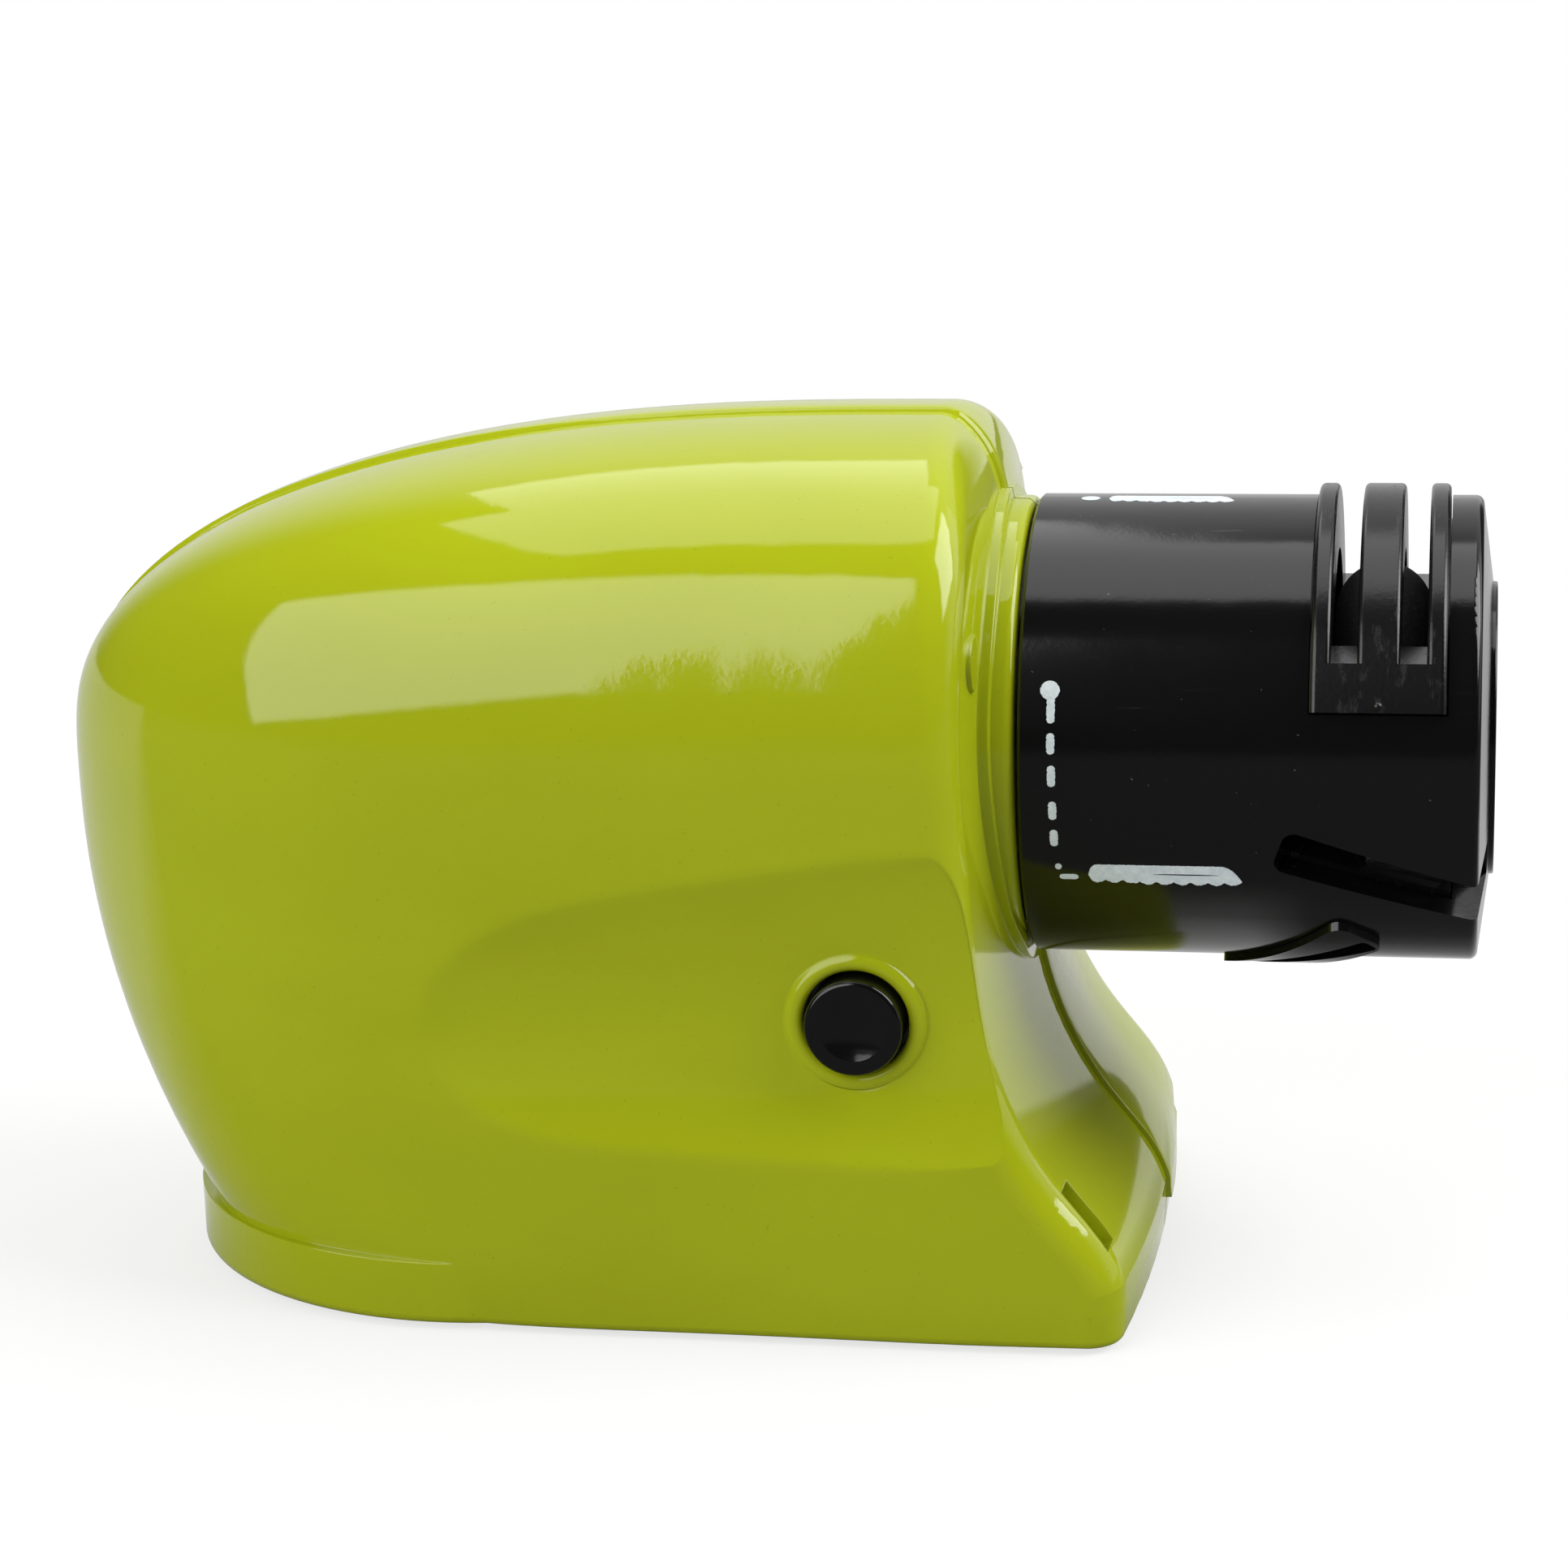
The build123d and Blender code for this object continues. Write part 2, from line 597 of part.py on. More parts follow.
def head_tube():
    rim_x = COLLAR_X + RUN_GAP
    lip_back = COLLAR_BACK_X - LIP_GAP - LIP_THICK
    spigot_bore = SPIGOT_RADIUS - SPIGOT_WALL
    profile = [
        (lip_back, spigot_bore), (lip_back, LIP_RADIUS), (lip_back + LIP_THICK, LIP_RADIUS),
        (lip_back + LIP_THICK, SPIGOT_RADIUS), (rim_x, SPIGOT_RADIUS), (rim_x, HEAD_RADIUS - HEAD_EDGE),
        (rim_x + HEAD_EDGE, HEAD_RADIUS), (CAP_X, HEAD_RADIUS), (CAP_X, HEAD_RADIUS - HEAD_WALL),
        (rim_x + SHOULDER_THICK, HEAD_RADIUS - HEAD_WALL), (rim_x + SHOULDER_THICK, spigot_bore),
    ]
    with BuildSketch(Plane.XZ) as outline:
        with BuildLine():
            Polyline(*[(x, AXIS_Z + r) for x, r in profile], close=True)
        make_face()
    tube = revolve(outline.sketch, Axis((0, 0, AXIS_Z), (1, 0, 0)))
    tube += sector(lip_back, lip_back + LIP_THICK, LIP_RADIUS - 0.5, LIP_RADIUS + STOP_HEIGHT,
                   -90 - STOP_HALF_ANGLE, -90 + STOP_HALF_ANGLE)
    half = GUIDE_WIDTH / 2 + FIT_GAP
    window = sector(GUIDE_X - half, GUIDE_X + half, HEAD_RADIUS - HEAD_WALL - 1, HEAD_RADIUS + 2,
                    GUIDE_END_ANGLE - 0.4, 180 - GUIDE_END_ANGLE + 0.4)
    tube -= window
    tube -= scissor_slot()
    tube -= driver_slot()
    return tube


def end_cap():
    """The slightly coned plate that closes the head, with a locating ring inside."""
    plate = axial(CAP_X, CAP_END_X, HEAD_RADIUS)
    rim = [e for e in plate.edges() if (e @ 0.5).X > CAP_END_X - 0.1]
    plate = fillet(rim, CAP_EDGE)
    cone = Cone(HEAD_RADIUS - CAP_EDGE, DISC_RADIUS, CAP_DOME_X - CAP_END_X,
                align=(Align.CENTER, Align.CENTER, Align.MIN))
    plate += Pos(CAP_END_X, 0, AXIS_Z) * Rot(0, 90, 0) * cone
    plate += ring(CAP_X - CAP_PLUG_DEPTH, CAP_X + 0.2, CAP_PLUG_RADIUS - CAP_PLUG_WALL,
                  CAP_PLUG_RADIUS)
    plate -= scissor_slot()
    return plate


def end_disc():
    disc = axial(CAP_DOME_X, END_X, DISC_RADIUS)
    rim = [e for e in disc.edges() if (e @ 0.5).X > END_X - 0.1]
    return fillet(rim, DISC_THICK / 2)


def knife_slot(centre):
    """The space of one slot: parallel walls with rounded lips, swept round the head axis."""
    wall = SLOT_WIDTH / 2
    low = AXIS_Z + GUIDE_BORE - 1
    lip = AXIS_Z + GUIDE_RADIUS - SLOT_LIP
    high = AXIS_Z + GUIDE_RADIUS
    bend = SLOT_LIP * math.sqrt(0.5)
    with BuildSketch(Plane.XZ) as outline:
        with BuildLine():
            Polyline((centre - wall, lip), (centre - wall, low), (centre + wall, low), (centre + wall, lip))
            for side in (-1, 1):
                edge = centre + side * (wall + SLOT_LIP)
                ThreePointArc((centre + side * wall, lip), (edge - side * bend, lip + bend), (edge, high))
            Polyline((centre - wall - SLOT_LIP, high), (centre - wall - SLOT_LIP, high + 1),
                     (centre + wall + SLOT_LIP, high + 1), (centre + wall + SLOT_LIP, high))
        make_face()
    swept = revolve(outline.sketch, Axis((0, 0, AXIS_Z), (1, 0, 0)))
    return swept & block(centre - GUIDE_WIDTH, centre + GUIDE_WIDTH, -BEYOND, BEYOND, SLOT_FLOOR_Z, BEYOND)


def knife_guide():
    """Arched saddle with two parallel knife slots open to the wheel below."""
    half = GUIDE_WIDTH / 2
    bore_of_tube = HEAD_RADIUS - HEAD_WALL
    arch = axial(GUIDE_X - half, GUIDE_X + half, GUIDE_RADIUS)
    arch = fillet(arch.edges().filter_by(GeomType.CIRCLE), GUIDE_EDGE)
    arch -= axial(GUIDE_X - GUIDE_WIDTH, GUIDE_X + GUIDE_WIDTH, GUIDE_BORE)
    saddle = arch & wedge(GUIDE_X - half, GUIDE_X + half, 2 * GUIDE_RADIUS, GUIDE_END_ANGLE,
                          180 - GUIDE_END_ANGLE)
    flange = sector(GUIDE_X - half - GUIDE_FLANGE, GUIDE_X + half + 0.1, GUIDE_BORE,
                    bore_of_tube - FIT_GAP, GUIDE_FLANGE_ANGLE, 180 - GUIDE_FLANGE_ANGLE)
    guide = saddle + flange
    for side in (-1, 1):
        guide -= knife_slot(GUIDE_X + side * SLOT_PITCH / 2)
    y, z = round_the_head(GUIDE_END_ANGLE + 1.5, GUIDE_RADIUS - NUB_RADIUS / 2)
    return guide + Pos(GUIDE_X, y, z) * Sphere(NUB_RADIUS)


def scissor_guide():
    """Liner behind the scissor slot, with a narrow throat that leads a blade to the wheel."""
    liner = sector(SCISSOR_X0 - 1.5, CAP_X - FIT_GAP, INSERT_INNER, HEAD_RADIUS - HEAD_WALL - FIT_GAP,
                   SCISSOR_ANGLE - SCISSOR_FALL - LINER_BELOW, SCISSOR_ANGLE + LINER_ABOVE)
    return liner - scissor_slot(INSERT_THROAT, 0.0) - driver_slot()


def scissor_strip():
    """Steel wear strip that closes the front of the scissor throat."""
    depth = HEAD_RADIUS - HEAD_WALL - 1.0
    band = ring(GUIDE_X - 1, CAP_X - 1, depth - STRIP_THICK, depth)
    return scissor_slot(INSERT_THROAT, 0.0) & band


def driver_guide():
    """Rounded block in the lower slot, with a groove for a screwdriver tip."""
    body = driver_slot(DRIVER_WIDTH - 2 * FIT_GAP)
    barrel = ring(DRIVER_X0 - 5, DRIVER_X1 + 5, INSERT_INNER, HEAD_RADIUS + INSERT_PROUD)
    groove = driver_slot(INSERT_THROAT) - axial(DRIVER_X0 - 5, DRIVER_X1 + 5, HEAD_RADIUS - HEAD_WALL)
    return (body & barrel) - groove


# =============================================================== wheel and motor
def wheel_x():
    return GUIDE_X - WHEEL_WIDTH / 2, GUIDE_X + WHEEL_WIDTH / 2


def grinding_wheel():
    """A disc with a full-round rim, the part that the blade meets in each slot."""
    x0, x1 = wheel_x()
    nose = WHEEL_WIDTH / 2
    with BuildSketch(Plane.XZ) as outline:
        with BuildLine():
            low = AXIS_Z + WHEEL_BORE
            high = AXIS_Z + WHEEL_RADIUS - nose
            Line((x0, low), (x0, high))
            ThreePointArc((x0, high), (GUIDE_X, high + nose), (x1, high))
            Line((x1, high), (x1, low))
            Line((x1, low), (x0, low))
        make_face()
    return revolve(outline.sketch, Axis((0, 0, AXIS_Z), (1, 0, 0)))


def wheel_hub():
    x0, x1 = wheel_x()
    hub = axial(x0 - HUB_FLANGE_THICK, x1 - 0.2, WHEEL_BORE)
    hub += axial(x0 - HUB_FLANGE_THICK, x0, HUB_FLANGE_RADIUS)
    return hub - axial(x0 - 2, x1 + 1, SHAFT_RADIUS)


def wheel_nut():
    _, x1 = wheel_x()
    with BuildSketch(Plane.YZ.offset(x1)) as hexagon:
        with Locations((0, AXIS_Z)):
            RegularPolygon(NUT_RADIUS, 6)
    washer = ring(x1 - 0.2, x1, SHAFT_RADIUS, WHEEL_BORE)
    return washer + extrude(hexagon.sketch, NUT_THICK) - axial(x1 - 1, x1 + NUT_THICK + 1, SHAFT_RADIUS)


def motor_shaft():
    _, x1 = wheel_x()
    return axial(SHAFT_REAR_X, x1 + NUT_THICK, SHAFT_RADIUS)


def motor_can():
    rear = MOTOR_REAR_X
    can = axial(rear, MOTOR_FRONT_X, MOTOR_RADIUS) + axial(MOTOR_FRONT_X, MOTOR_FRONT_X + BOSS_LENGTH,
                                                           BOSS_RADIUS)
    can -= axial(rear - 1, MOTOR_FRONT_X - MOTOR_WALL, MOTOR_RADIUS - MOTOR_WALL)
    can -= axial(rear, MOTOR_FRONT_X + BOSS_LENGTH + 1, SHAFT_RADIUS + RUN_GAP)
    for side in (-1, 1):
        can -= rod_x(MOTOR_FRONT_X - 2, MOTOR_FRONT_X + 1, 0, AXIS_Z + side * MOTOR_SCREW_OFFSET,
                     SCREW_RADIUS)
    return can


def motor_magnets():
    outer = MOTOR_RADIUS - MOTOR_WALL
    solids = [sector(MOTOR_REAR_X + 6, MOTOR_FRONT_X - 4, outer - MAGNET_THICK, outer, middle - 62, middle + 62)
              for middle in (0, 180)]
    return group(solids)


def armature():
    """Three-pole core pressed on the shaft, with its commutator behind."""
    front = MOTOR_FRONT_X - 7
    core = axial(front - ARMATURE_LENGTH, front, ARMATURE_RADIUS)
    for index in range(3):
        y, z = round_the_head(90 + 120 * index, ARMATURE_RADIUS - 2)
        core -= block(front - ARMATURE_LENGTH - 1, front + 1, y - 1.6, y + 1.6, z - 2.4, z + 4)
    rear = front - ARMATURE_LENGTH
    core += axial(rear - COMMUTATOR_LENGTH, rear, COMMUTATOR_RADIUS)
    return core - axial(rear - COMMUTATOR_LENGTH - 1, front + 1, SHAFT_RADIUS)


def motor_end_bell():
    rear = MOTOR_REAR_X
    bell = axial(rear - BELL_LENGTH, rear, MOTOR_RADIUS - 0.35)
    bell += axial(rear - BELL_LENGTH - 0.8, rear, BOSS_RADIUS)
    return bell - axial(rear - 10, rear + 1, SHAFT_RADIUS + RUN_GAP)


def motor_terminals():
    rear = MOTOR_REAR_X - BELL_LENGTH
    solids = []
    for side in (-1, 1):
        y = side * TERMINAL_OFFSET
        solids.append(block(rear - TERMINAL_LENGTH, rear, y - 1.2, y + 1.2,
                            AXIS_Z - 0.25, AXIS_Z + 0.25))
    return group(solids)


def carrier_bore():
    return MOTOR_RADIUS + FIT_GAP


def carrier_outer():
    return carrier_bore() + CARRIER_WALL


def motor_carrier():
    """Fixed barrel round the motor: it bolts behind the collar and reaches into the head."""
    front = MOTOR_FRONT_X
    carrier = axial(CARRIER_REAR_X, front + CARRIER_FRONT, carrier_outer())
    carrier += axial(FLANGE_X, FLANGE_X + FLANGE_THICK, FLANGE_RADIUS)
    for angle in lug_angles():
        carrier += sector(FLANGE_X, FLANGE_X + FLANGE_THICK, FLANGE_RADIUS - 1, LUG_REACH,
                          angle - LUG_HALF_ANGLE, angle + LUG_HALF_ANGLE)
    for y, z in lug_places():
        carrier += rod_x(FLANGE_X, FLANGE_X + FLANGE_THICK, y, z, LUG_RADIUS)
        carrier -= rod_x(FLANGE_X - 1, FLANGE_X + FLANGE_THICK + 1, y, z, SCREW_RADIUS + FIT_GAP)
    carrier -= axial(CARRIER_REAR_X - 1, front, carrier_bore())
    carrier -= axial(front - 1, front + 5, BOSS_RADIUS + FIT_GAP)
    for side in (-1, 1):
        carrier -= rod_x(front - 1, front + 5, 0, AXIS_Z + side * MOTOR_SCREW_OFFSET,
                         SCREW_RADIUS + FIT_GAP)
    return carrier


def carrier_screws():
    solids = []
    for y, z in lug_places():
        place = Pos(FLANGE_X + LUG_SCREW_LENGTH - 2, y, z) * Rot(0, 0, 180)
        solids.append(place * screw(LUG_SCREW_LENGTH - 2))
    return group(solids)


def motor_screws():
    solids = []
    depth = MOTOR_SCREW_LENGTH - CARRIER_FRONT
    for side in (-1, 1):
        x = MOTOR_FRONT_X - depth
        shank = rod_x(x, MOTOR_FRONT_X + CARRIER_FRONT, 0, AXIS_Z + side * MOTOR_SCREW_OFFSET, SCREW_RADIUS)
        head = rod_x(MOTOR_FRONT_X + CARRIER_FRONT, MOTOR_FRONT_X + CARRIER_FRONT + 0.6, 0,
                     AXIS_Z + side * MOTOR_SCREW_OFFSET, SCREW_HEAD_RADIUS - 0.2)
        solids.append(shank + head)
    return group(solids)


# =============================================================== batteries
def cell_rows():
    for index in range(4):
        yield index, (index - 1.5) * CELL_PITCH


def cell_z():
    return CELL_BOTTOM_Z + CELL_RADIUS


def battery_cells():
    """Four cells, alternately turned end for end."""
    solids = []
    can = CELL_LENGTH - CELL_NUB
    for index, y in cell_rows():
        if index % 2:
            cell = rod_x(CELL_REAR_X, CELL_REAR_X + can, y, cell_z(), CELL_RADIUS)
            cell += rod_x(CELL_REAR_X + can, CELL_REAR_X + CELL_LENGTH, y, cell_z(), CELL_NUB_RADIUS)
        else:
            cell = rod_x(CELL_REAR_X + CELL_NUB, CELL_REAR_X + CELL_LENGTH, y, cell_z(), CELL_RADIUS)
            cell += rod_x(CELL_REAR_X, CELL_REAR_X + CELL_NUB, y, cell_z(), CELL_NUB_RADIUS)
        solids.append(cell)
    return group(solids)


def contact_planes():
    """Inner x of the rear and front contact plates."""
    return CELL_REAR_X - TRAY_GAP, CELL_REAR_X + CELL_LENGTH + TRAY_GAP


def contact_plates():
    """A plate at each end of each cell, with a pressed bump that reaches the cell."""
    rear, front = contact_planes()
    solids = []
    for _, y in cell_rows():
        z0 = cell_z() - CONTACT_HEIGHT / 2
        z1 = cell_z() + CONTACT_HEIGHT / 2
        half = CONTACT_WIDTH / 2
        back = block(rear - CONTACT_THICK, rear, y - half, y + half, z0, z1)
        back += rod_x(rear, rear + TRAY_GAP, y, cell_z(), 2.0)
        fore = block(front, front + CONTACT_THICK, y - half, y + half, z0, z1)
        fore += rod_x(front - TRAY_GAP, front, y, cell_z(), 2.0)
        solids += [back, fore]
    return group(solids)


def battery_tray():
    """Roof and end walls over the cells, with ribs in the cusps between them."""
    rear, front = contact_planes()
    rear -= CONTACT_THICK
    front += CONTACT_THICK
    roof_z = CELL_BOTTOM_Z + 2 * CELL_RADIUS + TRAY_GAP
    floor_z = FOOT_PROUD + WALL + FIT_GAP
    tray = block(rear - TRAY_WALL, front + TRAY_WALL, -TRAY_HALF, TRAY_HALF, roof_z, roof_z + TRAY_ROOF)
    tray += block(rear - TRAY_WALL, rear, -TRAY_HALF + 1, TRAY_HALF - 1, floor_z, roof_z + TRAY_ROOF)
    tray += block(front, front + TRAY_WALL, -TRAY_HALF + 1, TRAY_HALF - 1, TRAY_FRONT_Z, roof_z + TRAY_ROOF)
    for y in (-CELL_PITCH, 0, CELL_PITCH):
        tray += block(rear, front, y - TRAY_RIB / 2, y + TRAY_RIB / 2, roof_z - 2.4, roof_z)
    return tray


def battery_door():
    """Bottom cover: a plate with grip grooves and two front tabs that it swings down on."""
    top = FOOT_PROUD + DOOR_THICK
    door = block(DOOR_REAR_X, DOOR_FRONT_X, -DOOR_HALF, DOOR_HALF, FOOT_PROUD, top)
    door = fillet(door.edges().filter_by(Axis.Z), 1.5)
    tab_floor = top + RUN_GAP + 0.1
    tab_top = tab_floor + DOOR_TAB_THICK
    for side in (-1, 1):
        y0 = side * DOOR_TAB_Y - DOOR_TAB_WIDTH / 2
        y1 = y0 + DOOR_TAB_WIDTH
        door += block(DOOR_FRONT_X - 1.6, DOOR_FRONT_X, y0, y1, top - 0.5, tab_top)
        door += block(DOOR_FRONT_X - 1.6, DOOR_FRONT_X + DOOR_TAB_REACH, y0, y1, tab_floor, tab_top)
    for index in range(4):
        x = DOOR_REAR_X + 4 + index * 1.6
        door -= block(x, x + 0.8, -7, 7, FOOT_PROUD - 0.1, FOOT_PROUD + 0.5)
    return door


# =============================================================== push switch
def power_button():
    """Round cap with a shallow dish, a flange behind the wall and a post to the switch."""
    cap = rod_y(BUTTON_X, BUTTON_Z, BUTTON_FACE_Y, BUTTON_FLANGE_Y, BUTTON_RADIUS)
    rim = [e for e in cap.edges() if (e @ 0.5).Y < BUTTON_FACE_Y + 0.1]
    cap = fillet(rim, BUTTON_EDGE)
    cap += rod_y(BUTTON_X, BUTTON_Z, BUTTON_FLANGE_Y - BUTTON_FLANGE_THICK, BUTTON_FLANGE_Y,
                 BUTTON_FLANGE_RADIUS)
    cap += rod_y(BUTTON_X, BUTTON_Z, BUTTON_FLANGE_Y, BUTTON_POST_Y, BUTTON_POST_RADIUS)
    dish_y = BUTTON_FACE_Y - BUTTON_DISH_RADIUS + BUTTON_DISH_DEPTH
    dish = Pos(BUTTON_X, dish_y, BUTTON_Z) * Sphere(BUTTON_DISH_RADIUS)
    return cap - dish


def button_spring():
    """Coil from the button's flange to the switch body."""
    start = BUTTON_FLANGE_Y + SPRING_WIRE
    end = SWITCH_FRONT_Y - SPRING_WIRE
    pitch = (end - start) / SPRING_TURNS
    path = Helix(pitch, end - start, SPRING_RADIUS, center=(0, 0, 0), direction=(0, 0, 1))
    profile = Plane(origin=path @ 0, z_dir=path % 0) * Circle(SPRING_WIRE)
    coil = sweep(profile, path, is_frenet=True)
    return Pos(BUTTON_X, start, BUTTON_Z) * Rot(-90, 0, 0) * coil


def switch_body():
    case = block(SWITCH_X - SWITCH_WIDTH / 2, SWITCH_X + SWITCH_WIDTH / 2, SWITCH_FRONT_Y,
                 SWITCH_FRONT_Y + SWITCH_DEPTH, BUTTON_Z - SWITCH_HEIGHT / 2,
                 BUTTON_Z + SWITCH_HEIGHT / 2)
    return case


def switch_tip():
    return rod_y(BUTTON_X, BUTTON_Z, BUTTON_POST_Y + BUTTON_TRAVEL + 0.2, SWITCH_FRONT_Y,
                 SWITCH_TIP_RADIUS)


# =============================================================== feet and wires
def feet():
    return group(foot_solids(0))


def tube_along(points, radii):
    path = FilletPolyline(*points, radius=radii)
    start = Plane(origin=path @ 0, z_dir=path % 0)
    return sweep(start * Circle(WIRE_RADIUS), path)


def wires():
    """Two leads: motor to switch, and motor to the battery contacts."""
    rear = MOTOR_REAR_X - BELL_LENGTH - TERMINAL_LENGTH
    switch_y = SWITCH_FRONT_Y + SWITCH_DEPTH / 2
    switch_x = SWITCH_X - SWITCH_WIDTH / 2
    drop_x = rear - 7
    y = TERMINAL_OFFSET
    near_lead = tube_along([(rear, -y, AXIS_Z), (drop_x, -y, AXIS_Z), (drop_x, switch_y, BUTTON_Z),
                            (switch_x, switch_y, BUTTON_Z)], 3.0)
    contact_x = contact_planes()[0] - CONTACT_THICK - TRAY_WALL - 3.0
    far_lead = tube_along([(rear, y, AXIS_Z), (drop_x - 6, y, AXIS_Z), (contact_x, 12, 30),
                           (contact_x, 12, cell_z())], 5.0)
    return group([near_lead, far_lead])


# =============================================================== build
def main():
    os.makedirs("parts", exist_ok=True)
    near, far = split(*housing())
    nodes = {
        "housing_near": near,
        "housing_far": far,
        "housing_screws": housing_screws(),
        "feet": feet(),
        "head_tube": head_tube(),
        "end_cap": end_cap(),
        "end_disc": end_disc(),
        "knife_guide": knife_guide(),
        "scissor_guide": scissor_guide(),
        "scissor_strip": scissor_strip(),
        "driver_guide": driver_guide(),
        "grinding_wheel": grinding_wheel(),
        "wheel_hub": wheel_hub(),
        "wheel_nut": wheel_nut(),
        "motor_shaft": motor_shaft(),
        "motor_can": motor_can(),
        "motor_magnets": motor_magnets(),
        "armature": armature(),
        "motor_end_bell": motor_end_bell(),
        "motor_terminals": motor_terminals(),
        "motor_carrier": motor_carrier(),
        "carrier_screws": carrier_screws(),
        "motor_screws": motor_screws(),
        "battery_cells": battery_cells(),
        "contact_plates": contact_plates(),
        "battery_tray": battery_tray(),
        "battery_door": battery_door(),
        "power_button": power_button(),
        "button_spring": button_spring(),
        "switch_body": switch_body(),
        "switch_tip": switch_tip(),
        "wires": wires(),
    }
    for name, shape in nodes.items():
        export_step(shape, f"parts/{name}.step")


main()
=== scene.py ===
"""Looks for the cordless electric knife sharpener: finishes, printed marks, seam lip and studio."""

import json
import math

import bmesh
import bpy
from mathutils import Matrix, Vector
from mathutils.bvhtree import BVHTree

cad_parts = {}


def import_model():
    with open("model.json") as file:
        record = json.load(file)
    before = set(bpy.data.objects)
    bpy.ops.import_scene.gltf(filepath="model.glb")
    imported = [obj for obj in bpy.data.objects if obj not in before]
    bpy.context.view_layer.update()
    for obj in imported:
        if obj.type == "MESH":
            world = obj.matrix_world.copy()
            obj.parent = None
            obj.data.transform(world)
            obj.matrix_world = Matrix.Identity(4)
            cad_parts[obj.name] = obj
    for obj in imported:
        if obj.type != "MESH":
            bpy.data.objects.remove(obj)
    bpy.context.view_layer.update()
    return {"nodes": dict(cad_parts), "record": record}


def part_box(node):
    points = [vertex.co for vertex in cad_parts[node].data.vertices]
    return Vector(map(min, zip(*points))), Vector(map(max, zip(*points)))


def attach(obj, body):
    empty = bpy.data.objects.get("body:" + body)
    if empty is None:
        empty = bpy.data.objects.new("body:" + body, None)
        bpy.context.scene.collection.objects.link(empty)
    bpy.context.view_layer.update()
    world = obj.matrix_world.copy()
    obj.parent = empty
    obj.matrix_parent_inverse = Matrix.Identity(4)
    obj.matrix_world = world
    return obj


MM = 0.001

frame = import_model()
nodes = frame["nodes"]

# ---- camera: where it stands round the object, and its lens
AIM = Vector((1.18, 0.0, 44.32)) * MM
CAMERA_DISTANCE = 379.8 * MM
CAMERA_AZIMUTH = 10.05
CAMERA_ELEVATION = 14.30
CAMERA_ROLL = -1.55
SENSOR = 36.0
LENS = 91.96
CLIP_START = 0.01
CLIP_END = 50.0

# ---- lamps: azimuth, elevation, distance, width, height, roll, radiance, shift in their own plane
LAMPS = {
    "key_box": (-40.4, 29.8, 1.2, 1.13, 1.04, 14.3, 2.32, (0.0, 0.0)),
    "top_box": (197.0, 74.2, 0.9, 0.70, 0.62, -5.5, 1.55, (0.0, 0.19)),
    "top_box_behind": (197.0, 74.2, 0.9, 0.34, 0.34, -5.5, 1.55, (0.09, -0.29)),
    "right_box": (88.0, 42.0, 1.3, 0.80, 0.95, 0.0, 4.6, (0.0, 0.0)),
    "edge_box": (119.0, 28.0, 1.2, 0.30, 0.78, 0.0, 0.6, (0.0, 0.0)),
}
LAMP_WATTS = 4.0           # power of a square metre of lamp, for each unit of radiance

# ---- floor, in metres
FLOOR_REACH = 6.0
FLOOR_SEEN = 0.90          # its colour to the camera
FLOOR_LIT = 0.42           # its colour to everything else
FLOOR_GLOW = 0.72          # share of it that is its own light to the camera, near the object
GLOW_GROWS = (0.10, 0.42)  # distance from the object over which that share grows to 1
MIRROR_SHARE = 0.85        # share of it that is its own light to the gloss of the object
MIRROR_PALE = 0.75
MIRROR_DARK = 0.08
PALE_BEHIND = (0.0, 0.06)  # Y over which the mirrored floor turns pale
PALE_TOE_Y = (-0.03, 0.0)  # the same beside the toe, where it starts nearer
PALE_TOE_X = (0.044, 0.050)
DARK_BEYOND = (0.17, 0.21)  # X over which it turns dark again

# ---- room round the object: bright behind, dim in front, with a dark screen in the bright part
ROOM_TOWARDS = (0.45, 0.89, 0.0)
ROOM_EDGE = (0.15, 0.60)   # cosine to that direction, from dim to bright
ROOM_DIM = 0.05
ROOM_BRIGHT = 0.95
SCREEN_AZIMUTH = 147.0
SCREEN_ELEVATION = 9.0
SCREEN_EDGE = (0.930, 0.955)
SCREEN_DARK = 0.06

# ---- radius that the shell's edges are rounded by in the shading
ROUND_FLANK = 1.9 * MM
ROUND_RING = 0.45 * MM
ROUND_FINE = 0.25 * MM
ROUND_SEAM = 0.1 * MM
BEVEL_SAMPLES = 8

# ---- printed marks on the turning head: X along it, degrees above the near horizontal round it
tube_low, tube_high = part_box("head_tube")
HEAD_RADIUS = tube_high.y
AXIS_Z = tube_high.z - HEAD_RADIUS
PRINT_RISE = 0.035 * MM
DOT_HALF = 0.86 * MM
LINE_HALF = 0.36 * MM
SMALL_DOT_HALF = 0.29 * MM
DOT_X = 28.7 * MM
LINE_X = DOT_X + 0.1 * MM
LINE_DRIFT = 0.06 * MM     # how far each dash lies past the one above it
DASHES = ((5.6, 10.7), (-2.3, 2.9), (-10.7, -6.0), (-17.9, -13.4))
DASH_STEPS = 16
FOOT_ANGLE = -27.0
FOOT_DASH = ((29.30, 0.10), (29.38, 0.55), (29.60, 0.80), (30.70, 0.82), (30.92, 0.55),
             (31.00, 0.10))

# ---- knife sign, as shares of its length and in half heights
SIGN_STEPS = 72
SIGN_ROUND = 0.06          # length of its round end
SIGN_POINT = 0.86          # where it starts to narrow to its point
SIGN_LINE = -0.1           # height of the point and of the round end's middle
SIGN_UPPER = 1.1
SIGN_LOWER = 0.62
SIGN_HEEL = 0.30           # length of the shallower part of its lower edge
SIGN_HEEL_CUT = 0.14
SIGN_WAVES = 9
SIGN_WAVE_DEPTH = 0.32
SIGN_THINNEST = 0.06
SLIT_MIDDLE = 0.64
SLIT_HALF_LENGTH = 0.22
SLIT_HALF_HEIGHT = 0.075
SLIT_HEIGHT = 0.08
SLIT_MARGIN = 0.03

